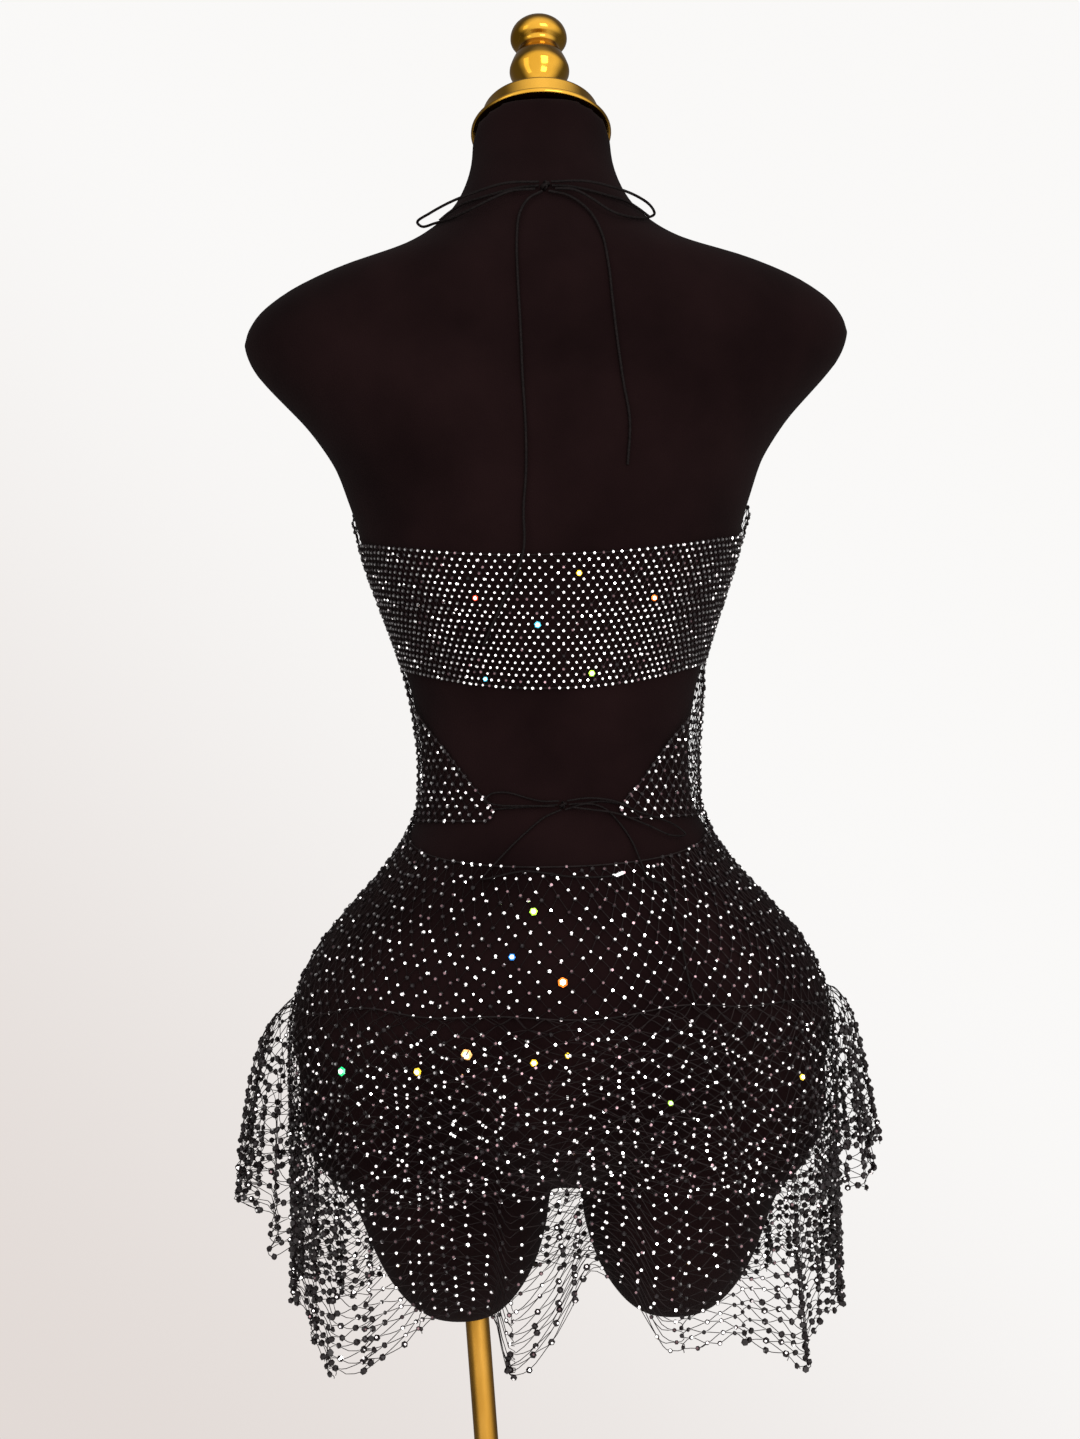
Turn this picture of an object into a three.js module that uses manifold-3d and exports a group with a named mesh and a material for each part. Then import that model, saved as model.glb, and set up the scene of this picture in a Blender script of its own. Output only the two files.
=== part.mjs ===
// A halter mini dress of open net on a limbless dress form that stands on a leaning pole.
// Millimetres, +Z up. The origin is the middle of the base's underside.
// The wearer's front faces +Y, so the dress shows its open back towards -Y.
import * as THREE from 'three';
import { mergeVertices } from 'three/addons/utils/BufferGeometryUtils.js';
import Module from 'manifold-3d';

const wasm = await Module();
wasm.setup();

// Driving sizes
const SEAM_GAP = 0.3;
const CLOTH = 1.5;
const SKIN_GAP = 1.05;
const BODY_X = 21;
const SECTION_POWER = 2.2;
const WAIST_SEAM_Z = 1095;
const WAIST_SEAM_BACK_DIP = 28;
const OVERSKIRT_SEAM_Z = 976;
const OVERSKIRT_LIFT = CLOTH + 0.6;
const NECKLINE_DIP = 46;
const BODICE_TOP_Z = 1488;
const HALTER_SIDE_TOP_Z = 1291;
const BAND_SIDE_TOP_Z = 1279;
const BAND_CENTRE_TOP_Z = 1266;
const BAND_SIDE_BOTTOM_Z = 1197;
const BAND_CENTRE_BOTTOM_Z = 1181;
const HALTER_CORD_RADIUS = 0.9;
const WAIST_CORD_RADIUS = 0.65;
const LEFT_SIDE_SLACK = 0.2;
const SIDE_SEAM_DEGREES = 0.08;
const SKIRT_SEAM_DEGREES = 0.05;
const HEM_FLARE = 1.4;
const OVERSKIRT_FLARE = 0.45;
const WAIST_CURVE = 0.8;
const NECKLINE_CURVE = 1.5;

const POLE_RADIUS = 8;
const POLE_LEAN = THREE.MathUtils.degToRad(3);
const POLE_BOTTOM_Z = 8;
const POLE_TOP_Z = 826;
const BORE_CLEARANCE = 0.3;
const BASE_RADIUS = 170;
const NECK_TOP = { y: 18, z: 1555.5, radius: 46, tilt: THREE.MathUtils.degToRad(25.5) };

// Smooth tables

// Makes a function that reads a table's columns at any value of its first column
function lookup(columns, rows) {
  const key = rows.map((row) => row[0]);
  const slope = columns.slice(1).map((_, c) => {
    const value = rows.map((row) => row[c + 1]);
    const step = key.slice(1).map((k, i) => (value[i + 1] - value[i]) / (k - key[i]));
    return value.map((_, i) => {
      if (i === 0) return step[0];
      if (i === value.length - 1) return step[i - 1];
      return step[i - 1] * step[i] <= 0 ? 0 : (2 * step[i - 1] * step[i]) / (step[i - 1] + step[i]);
    });
  });
  return (at) => {
    const k = THREE.MathUtils.clamp(at, key[0], key[key.length - 1]);
    let i = 0;
    while (i < key.length - 2 && k > key[i + 1]) i += 1;
    const width = key[i + 1] - key[i];
    const t = (k - key[i]) / width;
    const out = {};
    columns.slice(1).forEach((name, c) => {
      const a = rows[i][c + 1];
      const b = rows[i + 1][c + 1];
      const start = slope[c][i] * width;
      const end = slope[c][i + 1] * width;
      out[name] = a + t * (start + t * (3 * (b - a) - 2 * start - end + t * (2 * (a - b) + start + end)));
    });
    return out;
  };
}

// The form's level sections from the crotch to the neck, in mm: half width, depth behind and in front
const formSection = lookup(['z', 'half', 'back', 'front', 'y', 'tilt'], [
  [853, 40, 40, 36, 0, 0],
  [870, 105, 84, 76, 0, 0],
  [895, 150, 108, 94, 0, 0],
  [925, 173, 119, 102, 0, 0],
  [955, 180, 121, 104, 0, 0],
  [985, 174, 117, 102, 0, 0],
  [1010, 162, 110, 99, 0, 0],
  [1035, 142, 101, 94, 0, 0],
  [1062, 117, 91, 88, 0, 0],
  [1088, 98, 82, 83, 0, 0],
  [1110, 90, 77, 80, 0, 0],
  [1135, 89, 74, 80, 0, 0],
  [1165, 92, 74, 83, 0, 0],
  [1195, 99, 77, 91, 0, 0],
  [1220, 107, 81, 101, 0, 0],
  [1245, 116, 85, 111, 0, 0],
  [1270, 124, 88, 117, 0, 0],
  [1293, 129.5, 91, 117, 0, 0],
  [1313, 136, 93, 113, 0, 0],
  [1330, 142, 94, 108, 0, 0],
  [1345, 151, 94, 103, 0, 0],
  [1360, 162, 94, 98, 0, 0],
  [1374, 175, 93, 93, 0, 0],
  [1388, 188, 91, 88, 0, 0],
  [1400, 197, 89, 84, 0, 0],
  [1415, 202, 86, 79, 0, 0],
  [1431, 195, 84, 75, 0, 0],
  [1447, 176, 81, 72, 0, 0],
  [1463, 142, 77, 69, 0, 0],
  [1478, 94, 70, 64, 0, 0.02],
  [1490, 73, 64, 59, 1, 0.06],
  [1503, 60, 58, 54, 4, 0.12],
  [1518, 52, 52, 50, 8, 0.21],
  [1535, 47.5, 47.5, 47.5, 13, 0.31],
  [NECK_TOP.z, NECK_TOP.radius, NECK_TOP.radius, NECK_TOP.radius, NECK_TOP.y, NECK_TOP.tilt],
]);
const HIP_LEVELS = [955, 970, 985, 1000, 1015, 1030, 1045, 1060];
const FORM_LEVELS = [
  853, 864, 885, 920, ...HIP_LEVELS, 1072, 1085, 1097, 1110, 1122, 1137, 1155, 1178, 1205, 1235, 1265,
  1290, 1310, 1330, 1350, 1370, 1388, 1402, 1415, 1430, 1446, 1460, 1470, 1479, 1490, 1505, 1527, NECK_TOP.z,
];
const FORM_COLUMNS = 36;

// Each thigh stub's level sections, in mm: its middle's distance from the centre plane and its own half sizes
const thighSection = lookup(['z', 'middle', 'half', 'back', 'front'], [
  [760.5, 71, 9, 9, 9],
  [762, 71, 16, 17, 17],
  [767, 71, 26, 31, 30],
  [777, 71.5, 37, 46, 45],
  [797, 72, 50, 66, 63],
  [820, 73, 59, 79, 73],
  [845, 76, 66, 88, 80],
  [870, 87, 77.5, 95, 84],
  [900, 91, 84.5, 94, 82],
  [940, 90, 85, 86, 74],
]);
const THIGH_LEVELS = [760.5, 762.5, 768, 778, 796, 820, 845, 870, 900, 940];
const THIGH_COLUMNS = 22;

// The surface that the skirt hangs on below the hips, in mm
const hangSection = lookup(['z', 'half', 'back', 'front'], [
  [735, 181, 125, 108],
  [850, 181, 125, 108],
  [925, 181, 123, 106],
  [955, 180, 121, 104],
]);

// How far the taut net stands off the form at the sides and the front between bust and hips, in mm
const standOff = lookup(['z', 'side', 'front'], [
  [1036, 0, 0],
  [1062, 0.6, 3],
  [1080, 2, 7],
  [1098, 3.5, 12],
  [1125, 5.5, 18],
  [1150, 6, 21],
  [1175, 4.5, 19],
  [1195, 0.6, 14],
  [1230, 0, 6],
  [1265, 0, 0.6],
  [1290, 1.6, 0.8],
  [1325, 2.8, 2],
  [1440, 3, 2.4],
]);

// The long skirt's folds round the hem, from the wearer's left side over the back, in degrees and mm
const LONG_FOLDS = [
  [-180, -9, 796], [-168, 3, 788], [-158, -6, 776], [-148, 8, 762], [-136, 14, 749], [-126, 4, 762],
  [-116, 2, 785], [-109, 9, 793], [-103, 0, 786], [-99, 26, 757], [-93, 14, 772], [-86, 0, 815],
  [-80, 4, 804], [-74, 22, 770], [-68, 12, 768], [-61, 20, 772], [-55, 8, 766], [-49, 20, 757],
  [-42, 14, 747], [-33, 2, 768], [-21, 7, 775], [-11, -3, 774], [0, 1, 790],
  [12, -5, 794], [25, 9, 772], [38, 4, 786], [50, 20, 764], [61, 2, 782], [72, 20, 760], [82, 0, 778],
  [93, 22, 768], [104, 2, 785], [115, 20, 766], [127, 4, 780], [140, 18, 758], [152, -3, 780],
  [165, 6, 784], [180, -9, 796],
];

// The overskirt's folds, which add to the long skirt's
const OVER_FOLDS = [
  [-180, 31, 850], [-170, 38, 850], [-161, 20, 844], [-152, 29, 822], [-140, 11, 838], [-128, 20, 850],
  [-117, 9, 858], [-106, 18, 862], [-96, 9, 866], [-85, 16, 864], [-75, 9, 866], [-64, 19, 862],
  [-53, 9, 860], [-42, 24, 855], [-31, 9, 858], [-20, 20, 852], [-10, 18, 868], [0, 24, 878],
  [12, 16, 868], [25, 24, 858], [38, 9, 866], [52, 24, 858], [66, 9, 868], [80, 22, 860], [94, 9, 868],
  [108, 24, 860], [122, 9, 866], [136, 26, 856], [150, 11, 862], [165, 33, 852], [180, 31, 850],
];

// Reads a fold table that goes once round, with its ends joined smoothly
function roundLookup(rows) {
  const turned = ([degrees, ...rest], turn) => [degrees + turn, ...rest];
  const joined = [turned(rows[rows.length - 2], -360), ...rows, turned(rows[1], 360)];
  return lookup(['degrees', 'out', 'hem'], joined);
}
const longFold = roundLookup(LONG_FOLDS);
const overFold = roundLookup(OVER_FOLDS);

// The halter panel's side edge: its angle round the form at each height, -90 at the middle of the back
const bodiceEdge = lookup(['z', 'degrees'], [
  [1095, -62], [1101, -66], [1108, -63.5], [1118, -56], [1130, -48], [1145, -37], [1160, -24],
  [1175, -10], [1188, SIDE_SEAM_DEGREES], [HALTER_SIDE_TOP_Z, SIDE_SEAM_DEGREES], [1308, 17], [1340, 38],
  [1380, 55.5], [1420, 63], [1455, 62.5], [1466, 58], [1478, 43], [BODICE_TOP_Z, 31],
]);

// Points of the surfaces

function sectionPoint(section, degrees, z, out) {
  const angle = THREE.MathUtils.degToRad(degrees);
  const depth = Math.sin(angle) > 0 ? section.front : section.back;
  const across = Math.sign(Math.cos(angle)) * Math.abs(Math.cos(angle)) ** (2 / SECTION_POWER);
  const along = Math.sign(Math.sin(angle)) * Math.abs(Math.sin(angle)) ** (2 / SECTION_POWER);
  const slopeX = Math.sign(across) * Math.abs(across) ** (SECTION_POWER - 1) / section.half;
  const slopeY = Math.sign(along) * Math.abs(along) ** (SECTION_POWER - 1) / depth;
  const size = Math.hypot(slopeX, slopeY);
  const x = section.half * across + (out * slopeX) / size;
  const y = depth * along + (out * slopeY) / size;
  const tilt = section.tilt ?? 0;
  return new THREE.Vector3(x, (section.y ?? 0) + y * Math.cos(tilt), z - y * Math.sin(tilt));
}

function onForm(degrees, z, out) {
  return sectionPoint(formSection(z), degrees, z, out);
}

// The cloth's distance off the form where it bridges the waist
function bridge(degrees, z) {
  const off = standOff(z);
  const angle = THREE.MathUtils.degToRad(degrees);
  const front = Math.max(0, Math.sin(angle)) ** 2;
  const side = THREE.MathUtils.smoothstep(Math.sin(angle), -0.8, 0) * (1 - front);
  const slack = Math.cos(angle) < 0 ? LEFT_SIDE_SLACK : 1;
  return SKIN_GAP + front * off.front + side * slack * off.side;
}

const HIP_Z = HIP_LEVELS[0];
const hipSection = (z) => (z < HIP_Z ? hangSection(z) : formSection(z));

// How far the long skirt's folds stand out at a height, growing from the hips to the hem
function longFoldOut(degrees, z) {
  const fold = longFold(degrees);
  return fold.out * THREE.MathUtils.clamp((HIP_Z - z) / (HIP_Z - fold.hem), 0, 1) ** HEM_FLARE;
}

function longSkirtPoint(degrees, z) {
  return sectionPoint(hipSection(z), degrees, z, bridge(degrees, z) + longFoldOut(degrees, z));
}

function overskirtPoint(degrees, z) {
  const over = overFold(degrees);
  const fall = THREE.MathUtils.clamp((OVERSKIRT_SEAM_Z - z) / (OVERSKIRT_SEAM_Z - over.hem), 0, 1);
  const out = SKIN_GAP + OVERSKIRT_LIFT + longFoldOut(degrees, z) + over.out * fall ** OVERSKIRT_FLARE;
  return sectionPoint(hipSection(z), degrees, z, out);
}

// Closed bodies from rings and sheets

function closedGeometry(points, triangles) {
  const geometry = new THREE.BufferGeometry();
  geometry.setAttribute('position', new THREE.Float32BufferAttribute(points.flatMap((p) => p.toArray()), 3));
  geometry.setIndex(triangles);
  geometry.computeVertexNormals();
  return geometry;
}

// A closed skin through rings that run anticlockwise, seen from above, from the lowest to the highest
function loft(rings) {
  const count = rings[0].length;
  const points = rings.flat();
  const triangles = [];
  for (let i = 0; i < rings.length - 1; i += 1) {
    for (let j = 0; j < count; j += 1) {
      const a = i * count + j;
      const b = i * count + ((j + 1) % count);
      triangles.push(a, b, b + count, a, b + count, a + count);
    }
  }
  const middle = (ring) => ring.reduce((sum, p) => sum.add(p), new THREE.Vector3()).divideScalar(count);
  const low = points.push(middle(rings[0])) - 1;
  const high = points.push(middle(rings[rings.length - 1])) - 1;
  const top = (rings.length - 1) * count;
  for (let j = 0; j < count; j += 1) {
    const next = (j + 1) % count;
    triangles.push(low, next, j, high, top + j, top + next);
  }
  return closedGeometry(points, triangles);
}

// A wall of cloth: rows from the top edge down, each running with growing degrees, thickened outwards.
// A wall with side seams keeps their faces in the plane between front and back.
function clothWall(rows, sideSeams = false) {
  const high = rows.length;
  const wide = rows[0].length;
  const outer = rows.map((row, i) => row.map((point, j) => {
    const down = rows[Math.min(i + 1, high - 1)][j].clone().sub(rows[Math.max(i - 1, 0)][j]);
    const round = row[Math.min(j + 1, wide - 1)].clone().sub(row[Math.max(j - 1, 0)]);
    const normal = down.cross(round);
    if (sideSeams && (j === 0 || j === wide - 1)) normal.y = 0;
    return point.clone().add(normal.normalize().multiplyScalar(CLOTH));
  }));
  const points = [...rows.flat(), ...outer.flat()];
  const shift = high * wide;
  const triangles = [];
  const quad = (a, b, c, d) => triangles.push(a, b, c, a, c, d);
  for (let i = 0; i < high - 1; i += 1) {
    for (let j = 0; j < wide - 1; j += 1) {
      const a = i * wide + j;
      const [b, c, d] = [a + 1, a + 1 + wide, a + wide];
      if (j < (wide - 1) / 2) {
        quad(a, b, c, d);
        quad(shift + a, shift + d, shift + c, shift + b);
      } else {
        quad(b, c, d, a);
        quad(shift + d, shift + c, shift + b, shift + a);
      }
    }
  }
  for (let j = 0; j < wide - 1; j += 1) {
    const last = (high - 1) * wide + j;
    quad(j, shift + j, shift + j + 1, j + 1);
    quad(last, last + 1, shift + last + 1, shift + last);
  }
  for (let i = 0; i < high - 1; i += 1) {
    const left = i * wide;
    const right = left + wide - 1;
    quad(left, left + wide, shift + left + wide, shift + left);
    quad(right, shift + right, shift + right + wide, right + wide);
  }
  return closedGeometry(points, triangles);
}

function toManifold(geometry) {
  const bare = geometry.clone();
  bare.deleteAttribute('normal');
  if (bare.attributes.uv) bare.deleteAttribute('uv');
  const merged = mergeVertices(bare, 1e-4);
  return new wasm.Manifold(new wasm.Mesh({
    numProp: 3,
    vertProperties: Float32Array.from(merged.attributes.position.array),
    triVerts: Uint32Array.from(merged.index.array),
  }));
}

function fromManifold(solid) {
  const mesh = solid.getMesh();
  const geometry = new THREE.BufferGeometry();
  geometry.setAttribute('position', new THREE.BufferAttribute(mesh.vertProperties, 3));
  geometry.setIndex(new THREE.BufferAttribute(mesh.triVerts, 1));
  geometry.computeVertexNormals();
  return geometry;
}

function ringAt(columns, pointAt) {
  return Array.from({ length: columns }, (_, j) => pointAt((j / columns) * 360));
}

function spread(start, end, count) {
  return Array.from({ length: count + 1 }, (_, i) => start + ((end - start) * i) / count);
}

// Materials
const finish = (color, roughness, metalness = 0) => (
  new THREE.MeshStandardMaterial({ color, roughness, metalness, flatShading: true })
);
const JERSEY = finish(0x0d0808, 0.9);
const NET = finish(0x141112, 0.6);
const STONE_MESH = finish(0x6d6768, 0.35);
const CORD = finish(0x0b0909, 0.55);
const GOLD = finish(0xd69a1c, 0.16, 1);
const SILVER = finish(0xc9c9cc, 0.25, 1);

const dressedForm = new THREE.Group();
const body = new THREE.Group();
body.position.x = BODY_X;
dressedForm.add(body);

function addPiece(parent, name, geometry, material) {
  const mesh = new THREE.Mesh(geometry, material);
  mesh.name = name;
  parent.add(mesh);
  return mesh;
}

// The pole leans across the stand, from the middle of the base to the left thigh
function poleCylinder(radius, bottomZ, topZ) {
  const length = (topZ - bottomZ) / Math.cos(POLE_LEAN);
  const geometry = new THREE.CylinderGeometry(radius, radius, length, 20);
  geometry.rotateX(Math.PI / 2);
  geometry.translate(0, 0, bottomZ / Math.cos(POLE_LEAN) + length / 2);
  geometry.rotateY(-POLE_LEAN);
  return geometry;
}

function addStand() {
  addPiece(dressedForm, 'pole', poleCylinder(POLE_RADIUS, POLE_BOTTOM_Z, POLE_TOP_Z), GOLD);
  const collarTop = 48;
  const profile = [
    [0, 0], [BASE_RADIUS - 2, 0], [BASE_RADIUS, 2], [BASE_RADIUS, 8], [BASE_RADIUS - 5, 11], [90, 15],
    [30, 19], [21, 22], [18.5, 27], [17, 44], [14, collarTop], [0, collarTop],
  ].map(([radius, z]) => new THREE.Vector2(radius, z));
  const plate = new THREE.LatheGeometry(profile, 40);
  plate.rotateX(Math.PI / 2);
  const socket = poleCylinder(POLE_RADIUS + BORE_CLEARANCE, POLE_BOTTOM_Z - BORE_CLEARANCE, 2 * collarTop);
  addPiece(dressedForm, 'base', fromManifold(toManifold(plate).subtract(toManifold(socket))), GOLD);
}

function addForm() {
  const torso = loft(FORM_LEVELS.map((z) => ringAt(FORM_COLUMNS, (degrees) => onForm(degrees, z, 0))));
  let solid = toManifold(torso);
  for (const side of [-1, 1]) {
    const thigh = loft(THIGH_LEVELS.map((z) => ringAt(THIGH_COLUMNS, (degrees) => {
      const section = thighSection(z);
      return sectionPoint(section, degrees, z, 0).add(new THREE.Vector3(side * section.middle, 0, 0));
    })));
    solid = solid.add(toManifold(thigh));
  }
  const bore = poleCylinder(POLE_RADIUS + BORE_CLEARANCE, POLE_TOP_Z - 200, POLE_TOP_Z + BORE_CLEARANCE);
  bore.translate(-BODY_X, 0, 0);
  addPiece(body, 'dress_form', fromManifold(solid.subtract(toManifold(bore))), JERSEY);
}

// The cap and finial stand square on the slanted neck
function addNeckTrim() {
  const neck = new THREE.Group();
  neck.position.set(0, NECK_TOP.y, NECK_TOP.z);
  neck.rotation.x = -NECK_TOP.tilt;
  body.add(neck);
  const turned = (name, outline, segments, lift) => {
    const geometry = new THREE.LatheGeometry(outline.map(([r, z]) => new THREE.Vector2(r, z)), segments);
    geometry.rotateX(Math.PI / 2);
    addPiece(neck, name, geometry, GOLD).position.z = lift;
  };
  const capTop = 20.5;
  turned('neck_cap', [
    [0, 0], [46.5, 0], [47.5, 0.8], [47.5, 2.8], [46.5, 3.6], [40.5, 4.4], [39.5, 5.4], [39.5, 18], [38, 19.5],
    [24, 20.2], [22, capTop], [0, capTop],
  ], 28, SEAM_GAP);
  turned('finial', [
    [0, 0], [24, 0], [25.5, 2], [25.5, 5], [21, 8], [15, 12], [13.5, 17], [14.5, 23], [18.5, 28], [20.5, 32],
    [20.5, 35], [19, 40], [16.5, 46], [14, 50], [13, 53], [14, 55], [18, 57.5], [19.5, 60], [19.5, 64],
    [18, 68.5], [14.5, 72.5], [8.5, 75.3], [3, 76.2], [0, 76.3],
  ], 18, SEAM_GAP + capTop + SEAM_GAP);
}

function addBodice() {
  const levels = [
    BODICE_TOP_Z, 1478, 1466, 1450, 1430, 1405, 1375, 1345, 1318, 1304, HALTER_SIDE_TOP_Z, 1265, 1235,
    1205, 1188, 1175, 1160, 1145, 1130, 1118, 1108, 1101, WAIST_SEAM_Z + 2 * SEAM_GAP,
  ];
  const columns = 22;
  const rows = levels.map((level) => {
    const edge = bodiceEdge(level).degrees;
    const dip = NECKLINE_DIP * THREE.MathUtils.smoothstep(level, HALTER_SIDE_TOP_Z, BODICE_TOP_Z);
    return spread(0, 1, columns).map((share) => {
      const degrees = edge + share * (180 - 2 * edge);
      const z = level - dip * Math.sin(Math.PI * share) ** NECKLINE_CURVE;
      return onForm(degrees, z, bridge(degrees, z));
    });
  });
  addPiece(body, 'halter_front', clothWall(rows), NET);
}

function addBand() {
  const columns = 20;
  const angles = spread(-180 + SIDE_SEAM_DEGREES, -SIDE_SEAM_DEGREES, columns);
  const rows = spread(0, 1, 4).map((share) => angles.map((degrees) => {
    const middle = Math.sin(THREE.MathUtils.degToRad(-degrees)) ** 2;
    const top = THREE.MathUtils.lerp(BAND_SIDE_TOP_Z, BAND_CENTRE_TOP_Z, middle);
    const bottom = THREE.MathUtils.lerp(BAND_SIDE_BOTTOM_Z, BAND_CENTRE_BOTTOM_Z, middle);
    return onForm(degrees, THREE.MathUtils.lerp(top, bottom, share), SKIN_GAP);
  }));
  addPiece(body, 'back_band', clothWall(rows, true), STONE_MESH);
}

// The yoke's top edge: level round the front, lower at the middle of the back
function yokeTop(degrees) {
  const back = Math.max(0, Math.sin(THREE.MathUtils.degToRad(-degrees)));
  return WAIST_SEAM_Z - WAIST_SEAM_BACK_DIP * back ** WAIST_CURVE;
}

function foldAngles(folds, start, end, steps) {
  const marks = folds.map(([degrees]) => degrees).filter((d) => d >= start && d <= end);
  const angles = marks.slice(1).flatMap((mark, i) => spread(marks[i], mark, steps).slice(1));
  return [start + SKIRT_SEAM_DEGREES, ...angles.slice(0, -1), end - SKIRT_SEAM_DEGREES];
}

function addYokeHalf(name, start, end) {
  const columns = 24;
  const angles = spread(start + SKIRT_SEAM_DEGREES, end - SKIRT_SEAM_DEGREES, columns);
  const tight = HIP_LEVELS.filter((z) => z > OVERSKIRT_SEAM_Z).reverse();
  const levels = [yokeTop, ...[...tight, OVERSKIRT_SEAM_Z + SEAM_GAP / 2].map((z) => () => z)];
  const rows = levels.map((level) => angles.map((degrees) => longSkirtPoint(degrees, level(degrees))));
  addPiece(body, `yoke_${name}`, clothWall(rows, true), NET);
}

function addSkirtHalf(name, start, end) {
  const angles = foldAngles(LONG_FOLDS, start, end, 2);
  const tight = HIP_LEVELS.filter((z) => z < OVERSKIRT_SEAM_Z).reverse();
  const loose = [0.25, 0.5, 0.75, 1].map((share) => (degrees) => (
    THREE.MathUtils.lerp(HIP_Z, longFold(degrees).hem, share)
  ));
  const levels = [...[OVERSKIRT_SEAM_Z - SEAM_GAP / 2, ...tight].map((z) => () => z), ...loose];
  const rows = levels.map((level) => angles.map((degrees) => longSkirtPoint(degrees, level(degrees))));
  addPiece(body, `skirt_${name}`, clothWall(rows, true), NET);
}

function addOverskirtHalf(name, start, end) {
  const angles = foldAngles(OVER_FOLDS, start, end, 2);
  const rows = [0, 0.12, 0.35, 0.65, 1].map((share) => angles.map((degrees) => (
    overskirtPoint(degrees, THREE.MathUtils.lerp(OVERSKIRT_SEAM_Z, overFold(degrees).hem, share))
  )));
  addPiece(body, `overskirt_${name}`, clothWall(rows, true), NET);
}

// A point behind the form's back, out from its skin. The neck's sections are tilted, so the level is
// stepped to.
function onBack(x, z, out) {
  let level = z;
  let point;
  for (let i = 0; i < 6; i += 1) {
    const share = Math.min(1, Math.abs(x) / formSection(level).half) ** (SECTION_POWER / 2);
    point = onForm(-THREE.MathUtils.radToDeg(Math.acos(Math.sign(x) * share)), level, out);
    level += z - point.z;
  }
  return point;
}

function cordTube(points, radius, steps) {
  const circle = new THREE.Shape();
  circle.absarc(0, 0, radius, 0, 2 * Math.PI);
  return new THREE.ExtrudeGeometry(circle, {
    steps, curveSegments: 4, extrudePath: new THREE.CatmullRomCurve3(points), bevelEnabled: false,
  });
}

function knot(centre, width, height, depth) {
  const geometry = new THREE.SphereGeometry(1, 10, 6);
  geometry.rotateX(Math.PI / 2);
  geometry.scale(width / 2, depth / 2, height / 2);
  geometry.translate(centre.x, centre.y, centre.z);
  return geometry;
}

// The halter cord's routes behind the neck: x, z and the distance off the form's skin
const HALTER_KNOT = onBack(1.5, 1507, 3.4);
const HALTER_ROUTES = {
  halter_strand_left: [
    [-2.6, 1507, 3.4], [-14, 1506.5, 2.4], [-28, 1504, 2.2], [-42, 1501, 2.4], [-52, 1499, 2.6],
    [-59.5, 1495, 2.8], [-66, 1490, 2.8],
  ],
  halter_strand_right: [
    [5.6, 1507, 3.4], [17, 1506.5, 2.4], [30, 1504, 2.2], [43, 1501, 2.4], [53, 1499, 2.6],
    [60.5, 1495, 2.8], [67, 1490, 2.8],
  ],
  halter_tail_left: [
    [-0.5, 1502.9, 3.6], [-9, 1498, 3.4], [-15, 1488, 2.6], [-17.5, 1470, 1.8], [-17.5, 1445, 1.6],
    [-16.5, 1415, 1.6], [-15.8, 1380, 1.6], [-14.5, 1345, 1.6], [-15, 1318, 1.6], [-17, 1295, 2.2],
    [-17, 1272, 4.2], [-21, 1257, 4.4], [-29, 1241, 4.4], [-37, 1224, 4.4], [-43.5, 1210, 4.4],
  ],
  halter_tail_right: [
    [3.5, 1502.9, 3.6], [15, 1500, 3.4], [28, 1490, 2.6], [36.5, 1474, 1.8], [40.5, 1453, 1.6],
    [42.5, 1430, 1.6], [44.5, 1407, 1.6], [48, 1375, 1.6], [51.5, 1350, 1.6], [49.5, 1322, 1.6],
  ],
};
// The bow's loops stand a little off the neck and rest on the shoulders: x, y and z
const HALTER_LOOPS = {
  halter_loop_left: [
    [-2.6, -58.5, 1509.5], [-24, -62, 1508.5], [-44, -57, 1504], [-60, -50, 1499.5], [-74, -42, 1494],
    [-83, -33, 1489.8], [-80, -30, 1487.4], [-71, -37, 1488.2], [-60, -48, 1489], [-46, -59.5, 1493],
    [-34, -63, 1498], [-21, -63, 1503], [-5, -62.5, 1504.2],
  ],
  halter_loop_right: [
    [5.6, -58.5, 1509.5], [28, -62, 1508.5], [46, -57.5, 1505], [60, -50, 1501], [70, -41, 1496],
    [73, -36, 1491.5], [68, -43, 1487.6], [59, -53, 1486], [50, -61, 1486.5], [42, -64, 1489.5],
    [31, -64.5, 1497], [20, -63.5, 1503], [8, -62.5, 1504.2],
  ],
};

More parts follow.
